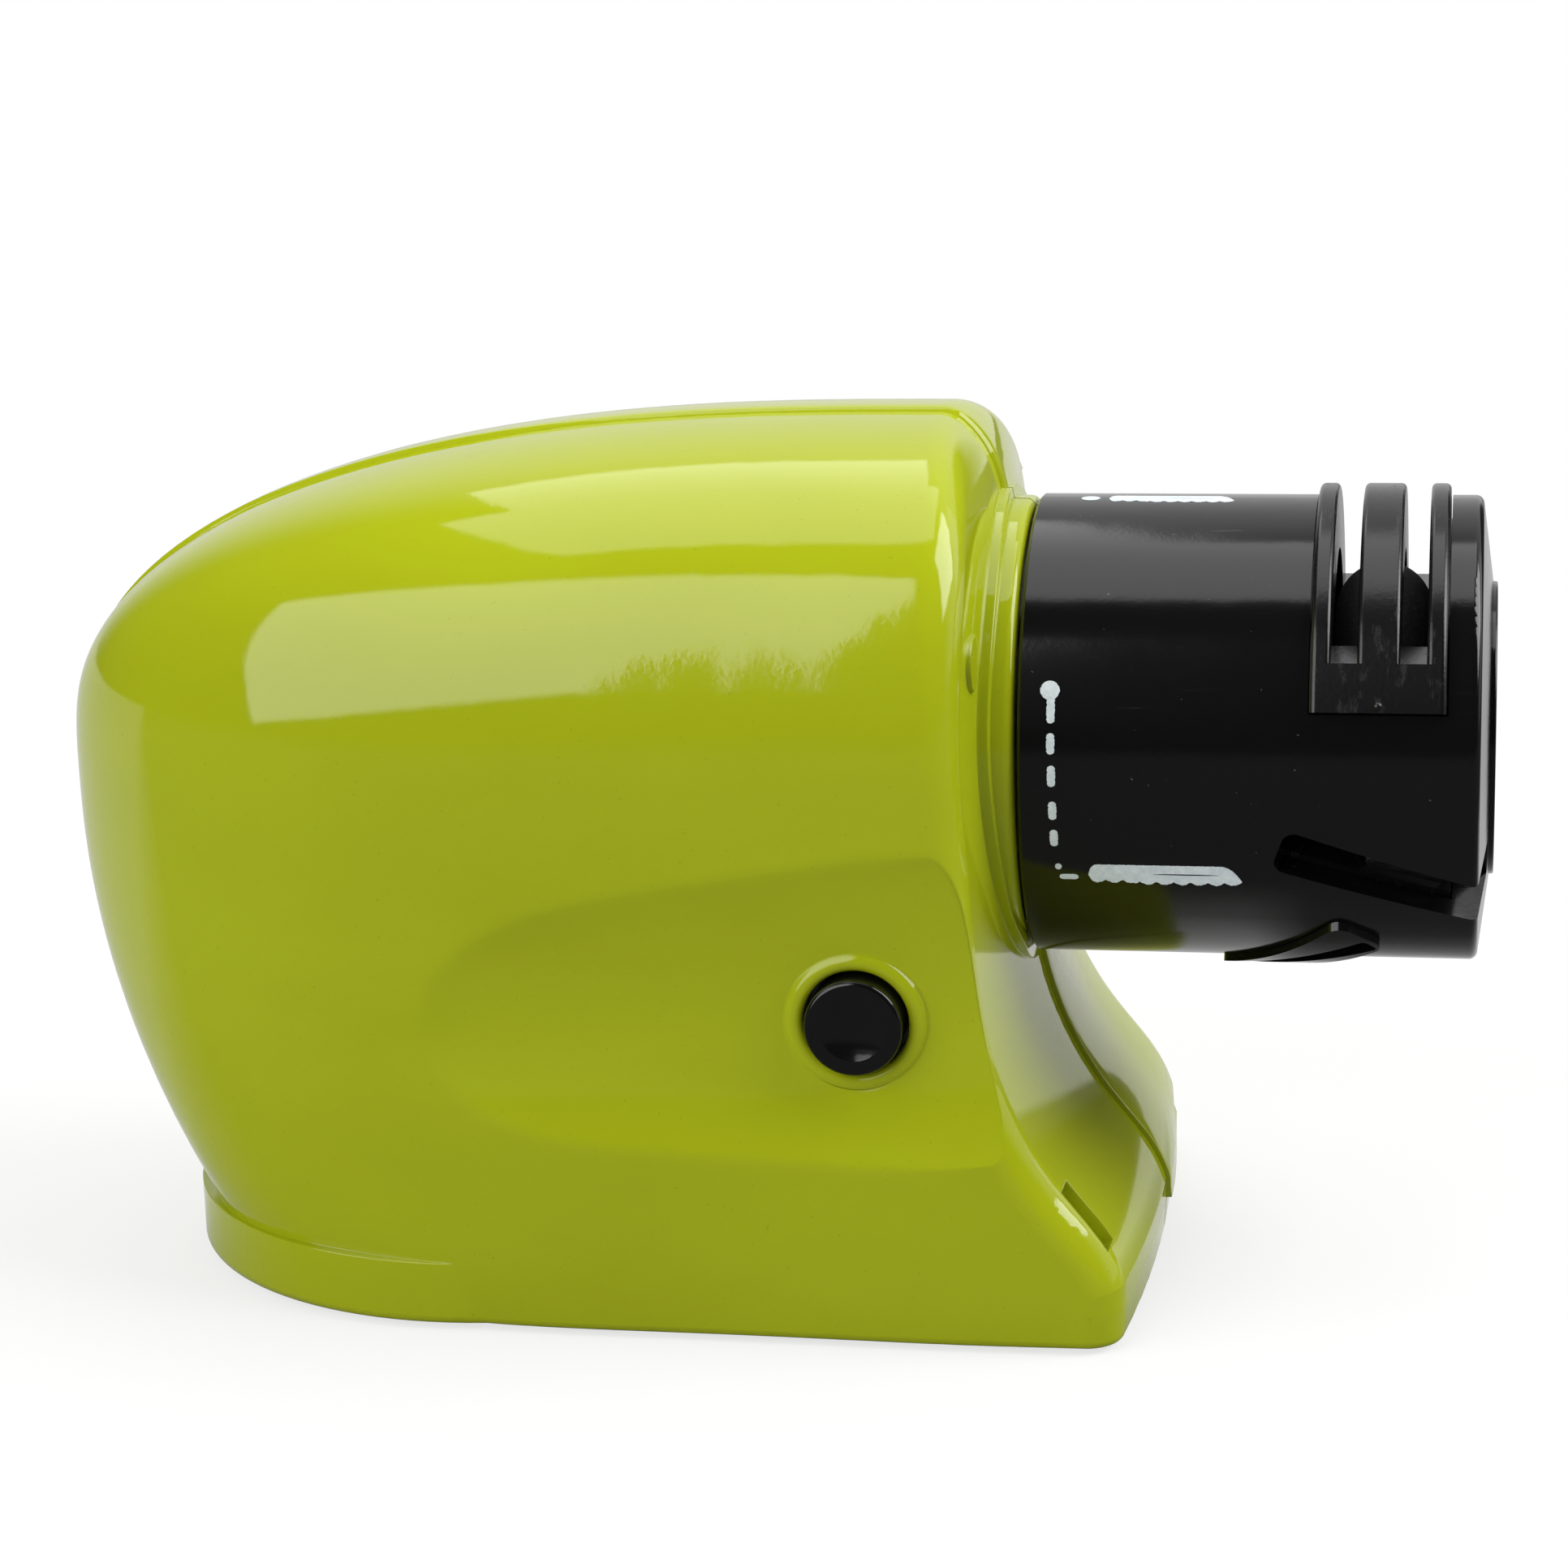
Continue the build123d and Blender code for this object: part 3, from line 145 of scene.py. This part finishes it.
# ---- lip of the far housing half, which stands proud of the near half along the seam
LIP_RISE = 0.45 * MM
LIP_SINK = 0.35 * MM
LIP_EDGE = -0.33 * MM      # Y of its wall, in the groove between the halves
LIP_ROUND = ((0.0, 0.06), (0.06, 0.02), (0.16, 0.0))  # run in from the wall, drop below the top, mm
LIP_FLAT = 1.5 * MM
LIP_WIDTH = 22.0 * MM
LIP_FADE = 0.03 * MM       # depth under the skin at which it ends
LIP_TAPER_STEPS = 16
LIP_LEAN_FRONT = 0.02 * MM
LIP_LEAN_CROWN = 0.30 * MM
LIP_OVERRUN = 1.0 * MM
LIP_SHARP = 30.0           # angle over which its edges stay sharp
LIP_STEPS = 720
LIP_FIRST_TURN = -60.0
LIP_SWEEP = 240.0
LIP_FOOT_Z = 5.0 * MM
LIP_CENTRE = Vector((0.0, 0.0, 40.0)) * MM
GROOVE_CLEAR = 0.45 * MM   # nearest to the seam that the skin is read
COLLAR_CLEAR = 0.9 * MM


# =============================================================== small helpers
def direction(azimuth, elevation):
    """Unit vector from the object towards a place round it; azimuth 0 is the near side."""
    a, e = math.radians(azimuth), math.radians(elevation)
    return Vector((math.sin(a) * math.cos(e), -math.cos(a) * math.cos(e), math.sin(e)))


def grey(level):
    return (level, level, level)


def toned(colour, share):
    """A colour made darker by a share under 1, or paler by one over 1."""
    return tuple(share * c for c in colour)


def link(obj):
    bpy.context.scene.collection.objects.link(obj)
    return obj


def add_piece(name, shape, finish, body, sharp=None):
    """Turn a bmesh into a visible piece that rides on a body."""
    bmesh.ops.recalc_face_normals(shape, faces=shape.faces)
    mesh = bpy.data.meshes.new(name)
    shape.to_mesh(mesh)
    shape.free()
    if sharp is not None:
        mesh.set_sharp_from_angle(angle=math.radians(sharp))
    mesh.materials.append(finish)
    piece = link(bpy.data.objects.new(name, mesh))
    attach(piece, body)


class Nodes:
    """Short calls for the nodes used here."""

    def __init__(self, tree):
        self.tree = tree

    def node(self, kind, **values):
        """A node with its settings and inputs; an underscore stands for a space in an input."""
        made = self.tree.nodes.new(kind)
        for key, value in values.items():
            if hasattr(made, key):
                setattr(made, key, value)
            else:
                made.inputs[key.replace("_", " ")].default_value = value
        return made

    def join(self, output, target):
        self.tree.links.new(output, target)

    def ramp(self, source, low, high, to_low=0.0, to_high=1.0, kind="LINEAR"):
        """The source, carried from one range to another and held at both ends."""
        made = self.node("ShaderNodeMapRange", interpolation_type=kind, From_Min=low,
                         From_Max=high, To_Min=to_low, To_Max=to_high)
        self.join(source, made.inputs["Value"])
        return made.outputs["Result"]

    def maths(self, operation, *sources):
        made = self.node("ShaderNodeMath", operation=operation)
        for source, target in zip(sources, made.inputs):
            self.join(source, target)
        return made.outputs["Value"]

    def vector(self, operation, source, fixed=None):
        made = self.node("ShaderNodeVectorMath", operation=operation)
        self.join(source, made.inputs[0])
        if fixed is not None:
            made.inputs[1].default_value = fixed
        return made.outputs["Vector" if operation == "MULTIPLY" else "Value"]

    def axes(self, source):
        made = self.node("ShaderNodeSeparateXYZ")
        self.join(source, made.inputs["Vector"])
        return made.outputs


class Material(Nodes):
    """A node material; its noises are measured in features to a metre of the object."""

    def __init__(self, name, **values):
        self.data = bpy.data.materials.new(name)
        self.data.use_nodes = True
        super().__init__(self.data.node_tree)
        self.shader = self.tree.nodes["Principled BSDF"]
        for key, value in values.items():
            self.shader.inputs[key.replace("_", " ")].default_value = value
        self.place = self.node("ShaderNodeTexCoord").outputs["Object"]

    def noise(self, scale, detail=3.0, roughness=0.5, stretch=None):
        made = self.node("ShaderNodeTexNoise", Scale=scale, Detail=detail, Roughness=roughness)
        place = self.place if stretch is None else self.stretched(stretch)
        self.join(place, made.inputs["Vector"])
        return made.outputs["Fac"]

    def stretched(self, stretch):
        mapping = self.node("ShaderNodeMapping", Scale=stretch)
        self.join(self.place, mapping.inputs["Vector"])
        return mapping.outputs["Vector"]

    def blend(self, factor, first, second):
        """A colour between two others, each of them a colour or another node's output."""
        made = self.node("ShaderNodeMix", data_type="RGBA")
        self.join(factor, made.inputs["Factor"])
        for socket, colour in (("A", first), ("B", second)):
            target = [s for s in made.inputs if s.name == socket and s.type == "RGBA"][0]
            if isinstance(colour, bpy.types.NodeSocket):
                self.join(colour, target)
            else:
                target.default_value = (*colour, 1.0)
        return [s for s in made.outputs if s.type == "RGBA"][0]

    def soft_edges(self, radius):
        """A normal that rounds the edges of the solid in the shading."""
        made = self.node("ShaderNodeBevel", samples=BEVEL_SAMPLES)
        self.join(radius, made.inputs["Radius"])
        return made.outputs["Normal"]

    def bump(self, height, distance, after=None):
        made = self.node("ShaderNodeBump", Strength=1.0, Distance=distance)
        self.join(height, made.inputs["Height"])
        if after is not None:
            self.join(after, made.inputs["Normal"])
        return made.outputs["Normal"]

    def finish(self, colour, roughness, normal):
        self.join(colour, self.shader.inputs["Base Color"])
        self.join(roughness, self.shader.inputs["Roughness"])
        self.join(normal, self.shader.inputs["Normal"])
        return self.data


# =============================================================== finishes
def glossy_shell(name="shell_green_plastic", rounded=True):
    """Lime-green moulded plastic: slow ripples, a faint flow pattern and a polished skin."""
    m = Material(name)
    flow = m.ramp(m.noise(34.0, 2.0, 0.5, (1.0, 1.0, 2.2)), 0.35, 0.65)
    colour = m.blend(flow, (0.410, 0.470, 0.0085), (0.430, 0.495, 0.0100))
    speck = m.ramp(m.noise(2600.0, 1.0, 0.5), 0.74, 0.78)
    colour = m.blend(speck, colour, (0.35, 0.41, 0.010))
    rough = m.ramp(m.noise(260.0, 4.0, 0.6), 0.3, 0.7, 0.035, 0.065)
    base = m.soft_edges(edge_softness(m)) if rounded else None
    ripple = m.bump(m.noise(40.0, 1.0, 0.4), 0.012 * MM, after=base)
    grain = m.bump(m.noise(1500.0, 2.0, 0.5), 0.003 * MM, after=ripple)
    return m.finish(colour, rough, grain)


def edge_softness(m):
    """Radius of the shell's rounded edges: large on the flanks, small at the button's ring,
    the collar, the foot and the seam."""
    low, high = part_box("power_button")
    centre = ((low.x + high.x) / 2, 0.0, (low.z + high.z) / 2)
    from_button = m.vector("DISTANCE", m.vector("MULTIPLY", m.place, (1.0, 0.0, 1.0)), centre)
    spot = m.axes(m.place)
    from_seam = m.maths("ABSOLUTE", spot["Y"])
    limits = [
        m.ramp(from_button, 7.5 * MM, 10.0 * MM, ROUND_RING, ROUND_FLANK),
        m.ramp(spot["X"], 14.0 * MM, 23.5 * MM, ROUND_FLANK, ROUND_FINE),
        m.ramp(spot["Z"], 12.0 * MM, 17.0 * MM, ROUND_FINE, ROUND_FLANK),
        m.ramp(from_seam, 2.0 * MM, 4.0 * MM, ROUND_SEAM, ROUND_FLANK),
    ]
    smallest = limits[0]
    for limit in limits[1:]:
        smallest = m.maths("MINIMUM", smallest, limit)
    return smallest


def glossy_black(name="head_black_plastic", dust=0.79):
    """Polished black plastic with hairline scratches and a little dust."""
    m = Material(name)
    scratch = m.ramp(m.noise(420.0, 5.0, 0.75, (0.25, 1.0, 6.0)), 0.62, 0.72)
    speck = m.ramp(m.noise(1900.0, 1.0, 0.5), dust, dust + 0.025)
    colour = m.blend(speck, (0.0035, 0.0036, 0.0038), (0.08, 0.08, 0.08))
    rough = m.ramp(scratch, 0.0, 1.0, 0.13, 0.26)
    ripple = m.bump(m.noise(120.0, 2.0, 0.5), 0.05 * MM)
    grain = m.bump(m.noise(2400.0, 2.0, 0.6), 0.004 * MM, after=ripple)
    return m.finish(colour, rough, grain)


def scuffed_black():
    """Black plastic rubbed by blades: paler, rougher streaks along the ribs."""
    m = Material("guide_black_plastic")
    rub = m.ramp(m.noise(900.0, 6.0, 0.7, (1.0, 0.35, 0.35)), 0.56, 0.72)
    colour = m.blend(rub, (0.0045, 0.0046, 0.0048), (0.015, 0.015, 0.016))
    rough = m.ramp(rub, 0.0, 1.0, 0.22, 0.42)
    grain = m.bump(m.noise(2200.0, 3.0, 0.6), 0.012 * MM)
    return m.finish(colour, rough, grain)


def plain_plastic(name, colour, roughness, grain=0.012):
    """Moulded inner plastic with a spark-eroded grain, its depth in millimetres."""
    m = Material(name)
    tone = m.ramp(m.noise(60.0, 3.0, 0.5), 0.3, 0.7)
    base = m.blend(tone, toned(colour, 0.86), colour)
    rough = m.ramp(m.noise(700.0, 3.0, 0.6), 0.3, 0.7, roughness - 0.05, roughness + 0.05)
    return m.finish(base, rough, m.bump(m.noise(1800.0, 3.0, 0.6), grain * MM))


def rubber(name, colour):
    m = Material(name, Specular_IOR_Level=0.35)
    tone = m.ramp(m.noise(300.0, 4.0, 0.6), 0.3, 0.7)
    base = m.blend(tone, colour, toned(colour, 1.5))
    rough = m.ramp(m.noise(900.0, 3.0, 0.6), 0.3, 0.7, 0.62, 0.8)
    return m.finish(base, rough, m.bump(m.noise(2600.0, 3.0, 0.6), 0.02 * MM))


def metal(name, colour, roughness, stretch):
    """Worked metal: lines along one direction and a slight change of tone."""
    m = Material(name, Metallic=1.0)
    lines = m.noise(1400.0, 4.0, 0.6, stretch)
    tone = m.ramp(m.noise(90.0, 3.0, 0.6), 0.3, 0.7)
    base = m.blend(tone, toned(colour, 0.82), colour)
    rough = m.ramp(lines, 0.3, 0.7, roughness - 0.08, roughness + 0.08)
    return m.finish(base, rough, m.bump(lines, 0.006 * MM))


def grit():
    """Bonded abrasive: coarse grains, some of them bright."""
    m = Material("wheel_grit")
    grains = m.noise(3200.0, 3.0, 0.7)
    spark = m.ramp(grains, 0.62, 0.70)
    base = m.blend(spark, (0.020, 0.021, 0.023), (0.16, 0.16, 0.165))
    rough = m.ramp(grains, 0.3, 0.7, 0.55, 0.9)
    return m.finish(base, rough, m.bump(grains, 0.12 * MM))


def cell_wrap():
    """Dark printed sleeve on the curved faces, bare nickelled steel on the flat ends."""
    m = Material("cell_wrap")
    normal = m.axes(m.node("ShaderNodeTexCoord").outputs["Normal"])
    end = m.ramp(m.maths("ABSOLUTE", normal["X"]), 0.80, 0.90)
    tone = m.ramp(m.noise(80.0, 2.0, 0.5), 0.3, 0.7)
    sleeve = m.blend(tone, (0.022, 0.024, 0.028), (0.030, 0.033, 0.038))
    base = m.blend(end, sleeve, (0.62, 0.61, 0.58))
    m.join(end, m.shader.inputs["Metallic"])
    rough = m.ramp(m.noise(900.0, 3.0, 0.6), 0.3, 0.7, 0.22, 0.32)
    return m.finish(base, rough, m.bump(m.noise(1500.0, 2.0, 0.5), 0.003 * MM))


def print_ink():
    """White screen-printed ink: slightly uneven and a little raised."""
    m = Material("print_ink", Specular_IOR_Level=0.4)
    tone = m.ramp(m.noise(1300.0, 4.0, 0.7), 0.35, 0.65)
    base = m.blend(tone, (0.66, 0.75, 0.82), (0.82, 0.89, 0.95))
    rough = m.ramp(m.noise(900.0, 3.0, 0.6), 0.3, 0.7, 0.45, 0.6)
    return m.finish(base, rough, m.bump(m.noise(1800.0, 3.0, 0.6), 0.01 * MM))


def finishes():
    """One material for each slot of the record."""
    return {
        "shell_green": glossy_shell(),
        "head_black": glossy_black(),
        "guide_black": scuffed_black(),
        "button_black": glossy_black("button_black_plastic", 0.80),
        "foot_rubber": rubber("foot_rubber", (0.018, 0.018, 0.019)),
        "screw_steel": metal("screw_steel", (0.62, 0.63, 0.65), 0.30, (1.0, 1.0, 1.0)),
        "strip_steel": metal("strip_steel", (0.72, 0.73, 0.75), 0.22, (0.1, 1.0, 1.0)),
        "wheel_stone": grit(),
        "nut_brass": metal("nut_brass", (0.78, 0.60, 0.29), 0.28, (1.0, 0.2, 0.2)),
        "hub_grey": plain_plastic("hub_grey_plastic", (0.075, 0.077, 0.082), 0.5),
        "motor_steel": metal("motor_steel", (0.55, 0.56, 0.58), 0.34, (0.08, 1.0, 1.0)),
        "magnet_dark": plain_plastic("magnet_ferrite", (0.030, 0.030, 0.032), 0.6, 0.03),
        "armature_steel": metal("armature_steel", (0.42, 0.40, 0.38), 0.40, (2.5, 0.3, 0.3)),
        "carrier_grey": plain_plastic("carrier_grey_plastic", (0.045, 0.046, 0.050), 0.48),
        "contact_steel": metal("contact_steel", (0.70, 0.68, 0.62), 0.26, (1.0, 0.2, 1.0)),
        "cell_wrap": cell_wrap(),
        "tray_grey": plain_plastic("tray_grey_plastic", (0.040, 0.041, 0.044), 0.5),
        "switch_black": plain_plastic("switch_black_plastic", (0.020, 0.020, 0.022), 0.45),
        "white_plastic": plain_plastic("white_tip_plastic", (0.72, 0.71, 0.66), 0.4),
        "wire_black": rubber("wire_black", (0.022, 0.022, 0.024)),
    }


def dress(looks):
    for part in frame["record"]["subparts"]:
        mesh = nodes[part["node"]].data
        mesh.materials.clear()
        mesh.materials.append(looks[part["material_slot"]])


# =============================================================== printed marks on the head
def on_head(x, angle, rise):
    """A point at a place along the head and an angle above the near horizontal."""
    turn = math.radians(angle)
    radius = HEAD_RADIUS + rise
    return Vector((x, -radius * math.cos(turn), AXIS_Z + radius * math.sin(turn)))


def degrees_of(length):
    return math.degrees(length / HEAD_RADIUS)


def uneven(k):
    """Small waver of an inked edge, by the number of the station along it."""
    return (0.035 * math.sin(2.7 * k) + 0.02 * math.sin(5.1 * k + 1.0)) * MM


def print_mark(name, strips, ink):
    """A thin closed slab on the head; each strip is rows of two (x, degrees) points."""
    shape = bmesh.new()
    for rows in strips:
        edges = [[shape.verts.new(on_head(x, angle, PRINT_RISE)) for x, angle in row]
                 for row in rows]
        for (a, b), (c, d) in zip(edges, edges[1:]):
            shape.faces.new((a, b, d, c))
    bmesh.ops.remove_doubles(shape, verts=shape.verts, dist=1e-7)
    bmesh.ops.recalc_face_normals(shape, faces=shape.faces)
    bmesh.ops.solidify(shape, geom=shape.faces[:], thickness=PRINT_RISE)
    add_piece(name, shape, ink, "head")


def dash(x, low, high, half):
    """A dash round the head from one angle to another, with round ends."""
    cap = degrees_of(half)
    rows = []
    for k in range(DASH_STEPS + 1):
        angle = low + (high - low) * (0.5 - 0.5 * math.cos(math.pi * k / DASH_STEPS))
        inward = min(angle - low, high - angle) / cap
        share = math.sqrt(max(0.0, 1.0 - (1.0 - min(1.0, inward)) ** 2))
        width = max(0.05 * half, half * share)
        rows.append(((x - width + uneven(k) * share, angle),
                     (x + width + uneven(k + 7) * share, angle)))
    return [rows]


def sign_edges(t):
    """Lower and upper edge of the knife sign at a share of its length, in half heights."""
    start = min(1.0, t / SIGN_ROUND)
    round_start = math.sqrt(1.0 - (1.0 - start) ** 2)
    point = max(0.0, (t - SIGN_POINT) / (1.0 - SIGN_POINT))
    upper = SIGN_LINE + SIGN_UPPER * round_start - 1.5 * point ** 2.2
    depth = SIGN_LOWER - (SIGN_HEEL_CUT if t < SIGN_HEEL else 0.0)
    wave = SIGN_WAVE_DEPTH * abs(math.sin(SIGN_WAVES * math.pi * t))
    lower = SIGN_LINE - depth * round_start - wave + 0.1 * point
    return lower, max(upper, lower + SIGN_THINNEST)


def knife_sign(x0, x1, angle, half_height):
    """A blade with a round end, a pointed end, a wavy lower edge and a slit along it."""
    unit = degrees_of(half_height)
    lower_rows, upper_rows = [], []
    for k in range(SIGN_STEPS + 1):
        t = k / SIGN_STEPS
        x = x0 + (x1 - x0) * t
        low, high = sign_edges(t)
        along = (t - SLIT_MIDDLE) / SLIT_HALF_LENGTH
        slit = max(0.0, 1.0 - along ** 2) ** 0.5 * SLIT_HALF_HEIGHT
        middle = min(max(SLIT_HEIGHT, low + SLIT_MARGIN), high - SLIT_MARGIN)
        waver = uneven(k) / half_height
        lower_rows.append(((x, angle + unit * (low + waver)), (x, angle + unit * (middle - slit))))
        upper_rows.append(((x, angle + unit * (middle + slit)),
                           (x, angle + unit * (high + 0.5 * waver))))
    return [lower_rows, upper_rows]


def marks():
    ink = print_ink()
    print_mark("mark_top_dot", dash(30.6 * MM, 85.9, 90.3, DOT_HALF), ink)
    print_mark("mark_near_dot", dash(DOT_X, 18.6, 23.2, DOT_HALF), ink)
    print_mark("mark_stem", dash(LINE_X, 13.0, 19.4, LINE_HALF), ink)
    for k, (low, high) in enumerate(DASHES):
        print_mark(f"mark_dash_{k + 1}", dash(LINE_X + k * LINE_DRIFT, low, high, LINE_HALF), ink)
    print_mark("mark_small_dot", dash(29.25 * MM, -24.8, -23.0, SMALL_DOT_HALF), ink)
    foot = [[(x * MM, FOOT_ANGLE - half), (x * MM, FOOT_ANGLE + half)] for x, half in FOOT_DASH]
    print_mark("mark_foot_dash", [foot], ink)
    print_mark("mark_near_sign", knife_sign(31.9 * MM, 45.5 * MM, -26.0, 1.1 * MM), ink)
    print_mark("mark_top_sign", knife_sign(32.3 * MM, 43.7 * MM, 88.0, 1.25 * MM), ink)


# =============================================================== lip along the housing's seam
def skin_point(tree, turn, y):
    """Place and outward direction of the housing's skin, seen from its middle at one angle."""
    centre = Vector((LIP_CENTRE.x, y, LIP_CENTRE.z))
    outward = Vector((math.cos(turn), 0.0, math.sin(turn)))
    place, normal, _, _ = tree.ray_cast(centre + outward, -outward)
    flat = Vector((normal.x, 0.0, normal.z)).normalized()
    return place, flat if flat.dot(outward) > 0 else -flat


def lip_section(lean):
    """Offsets across the lip, from its wall in the groove to its thin end: Y and rise."""
    top = [(LIP_EDGE, -LIP_SINK), (LIP_EDGE, 0.0)]
    top += [(LIP_EDGE + lean + run * MM, LIP_RISE - drop * MM) for run, drop in LIP_ROUND]
    for k in range(LIP_TAPER_STEPS + 1):
        share = k / LIP_TAPER_STEPS
        fall = 0.5 + 0.5 * math.cos(math.pi * share)
        top.append((LIP_FLAT + (LIP_WIDTH - LIP_FLAT) * share,
                    (LIP_RISE + LIP_FADE) * fall - LIP_FADE))
    return top


def lip_strip(name, turns, lean, tree, finish):
    """A closed strip over the skin, its section set at each turn round the housing's middle."""
    section = lip_section(lean)
    rows = []
    for turn in turns:
        row = []
        for y, rise in section:
            place, outward = skin_point(tree, turn, max(y, GROOVE_CLEAR))
            row.append(Vector((place.x, y, place.z)) + outward * rise)
        place, outward = skin_point(tree, turn, LIP_FLAT)
        row.append(place - outward * LIP_SINK)
        rows.append(row)
    for end, inner in ((0, 3), (-1, -4)):
        ahead = [a + (a - b).normalized() * LIP_OVERRUN for a, b in zip(rows[end], rows[inner])]
        rows.insert(0 if end == 0 else len(rows), ahead)
    shape = bmesh.new()
    grid = [[shape.verts.new(point) for point in row] for row in rows]
    count = len(section) + 1
    for a, b in zip(grid, grid[1:]):
        for k in range(count):
            n = (k + 1) % count
            shape.faces.new((a[k], a[n], b[n], b[k]))
    shape.faces.new(grid[0])
    shape.faces.new(list(reversed(grid[-1])))
    for face in shape.faces:
        face.smooth = True
    add_piece(name, shape, finish, "body", LIP_SHARP)


def seam_lip(finish):
    """Strips over the far half's skin, below and above the collar."""
    skin = nodes["housing_far"].data
    tree = BVHTree.FromPolygons([v.co for v in skin.vertices], [p.vertices for p in skin.polygons])
    front, crown = [], []
    for k in range(LIP_STEPS):
        turn = math.radians(LIP_FIRST_TURN + LIP_SWEEP * k / LIP_STEPS)
        place, _ = skin_point(tree, turn, GROOVE_CLEAR)
        reach = math.hypot(place.y, place.z - AXIS_Z)
        if place.z < LIP_FOOT_Z:
            continue
        at_head = math.cos(turn) > 0
        if at_head and (place.x < 0 or reach < HEAD_RADIUS + COLLAR_CLEAR):
            continue
        (front if at_head and place.z < AXIS_Z else crown).append(turn)
    lip_strip("seam_lip_front", front, LIP_LEAN_FRONT, tree, finish)
    lip_strip("seam_lip_crown", crown, LIP_LEAN_CROWN, tree, finish)


# =============================================================== studio
def camera():
    data = bpy.data.cameras.new("camera")
    data.sensor_width = SENSOR
    data.lens = LENS
    data.clip_start = CLIP_START
    data.clip_end = CLIP_END
    azimuth = math.radians(CAMERA_AZIMUTH)
    back = direction(CAMERA_AZIMUTH, CAMERA_ELEVATION)
    level = Vector((math.cos(azimuth), math.sin(azimuth), 0.0))
    upright = back.cross(level)
    roll = math.radians(CAMERA_ROLL)
    right = level * math.cos(roll) + upright * math.sin(roll)
    up = upright * math.cos(roll) - level * math.sin(roll)
    obj = link(bpy.data.objects.new("camera", data))
    obj.matrix_world = Matrix.Translation(AIM + back * CAMERA_DISTANCE) @ Matrix(
        (right, up, back)).transposed().to_4x4()
    bpy.context.scene.camera = obj


def softbox(name, azimuth, elevation, distance, width, height, roll, radiance, shift):
    """A rectangular lamp that faces the object, moved in its own plane by the shift."""
    data = bpy.data.lights.new(name, "AREA")
    data.shape = "RECTANGLE"
    data.size = width
    data.size_y = height
    data.energy = LAMP_WATTS * radiance * width * height
    obj = link(bpy.data.objects.new(name, data))
    towards = direction(azimuth, elevation)
    turn = towards.to_track_quat("Z", "Y").to_matrix().to_4x4()
    obj.matrix_world = Matrix.Translation(AIM + towards * distance) @ turn @ Matrix.Rotation(
        math.radians(roll), 4, "Z") @ Matrix.Translation((*shift, 0.0))


def floor_finish():
    """Pale floor: white to the camera, fading to pure white far off, and dimmer in reflections."""
    m = Material("floor_white", Roughness=0.9, Specular_IOR_Level=0.1)
    rays = m.node("ShaderNodeLightPath").outputs
    seen, glossy = rays["Is Camera Ray"], rays["Is Glossy Ray"]
    spot = m.axes(m.place)
    colour = m.blend(seen, grey(FLOOR_LIT), grey(FLOOR_SEEN))
    m.join(colour, m.shader.inputs["Base Color"])

    by_toe = m.maths("MULTIPLY", m.ramp(spot["X"], *PALE_TOE_X, 1.0, 0.0),
                     m.ramp(spot["Y"], *PALE_TOE_Y))
    pale = m.maths("MAXIMUM", m.ramp(spot["Y"], *PALE_BEHIND), by_toe)
    beyond = m.blend(m.ramp(spot["X"], *DARK_BEYOND), grey(MIRROR_PALE), grey(MIRROR_DARK))
    mirrored = m.blend(pale, grey(MIRROR_DARK), beyond)

    away = m.vector("LENGTH", m.place)
    to_camera = m.maths("MULTIPLY", seen, m.ramp(away, *GLOW_GROWS, FLOOR_GLOW, 1.0))
    to_gloss = m.ramp(glossy, 0.0, 1.0, 0.0, MIRROR_SHARE)
    glow = m.node("ShaderNodeEmission", Strength=1.0)
    m.join(m.blend(glossy, grey(1.0), mirrored), glow.inputs["Color"])
    mix = m.node("ShaderNodeMixShader")
    m.join(m.maths("MAXIMUM", to_camera, to_gloss), mix.inputs["Fac"])
    m.join(m.shader.outputs["BSDF"], mix.inputs[1])
    m.join(glow.outputs["Emission"], mix.inputs[2])
    m.join(mix.outputs["Shader"], m.tree.nodes["Material Output"].inputs["Surface"])
    return m.data


def floor():
    r = FLOOR_REACH
    mesh = bpy.data.meshes.new("floor")
    mesh.from_pydata([(-r, -r, 0), (r, -r, 0), (r, r, 0), (-r, r, 0)], [], [(0, 1, 2, 3)])
    mesh.materials.append(floor_finish())
    link(bpy.data.objects.new("floor", mesh))


def world():
    """White to the camera; to the object a bright room with a dark screen in it, dim in front."""
    studio_world = bpy.data.worlds.new("studio")
    bpy.context.scene.world = studio_world
    studio_world.use_nodes = True
    studio_world.node_tree.nodes.clear()
    w = Nodes(studio_world.node_tree)
    towards = w.node("ShaderNodeTexCoord").outputs["Generated"]
    depth = w.ramp(w.vector("DOT_PRODUCT", towards, ROOM_TOWARDS), *ROOM_EDGE, ROOM_DIM,
                   ROOM_BRIGHT, "SMOOTHSTEP")
    by_screen = w.vector("DOT_PRODUCT", towards, direction(SCREEN_AZIMUTH, SCREEN_ELEVATION))
    room = w.maths("MULTIPLY", depth, w.ramp(by_screen, *SCREEN_EDGE, 1.0, SCREEN_DARK))
    strength = w.maths("MAXIMUM", room, w.node("ShaderNodeLightPath").outputs["Is Camera Ray"])
    shade = w.node("ShaderNodeBackground")
    w.join(strength, shade.inputs["Strength"])
    out = w.node("ShaderNodeOutputWorld")
    w.join(shade.outputs["Background"], out.inputs["Surface"])


def studio():
    camera()
    for name, setting in LAMPS.items():
        softbox(name, *setting)
    floor()
    world()
    bpy.context.scene.view_settings.view_transform = "Standard"


# =============================================================== assembly
dress(finishes())
marks()
seam_lip(glossy_shell("lip_green_plastic", rounded=False))
studio()
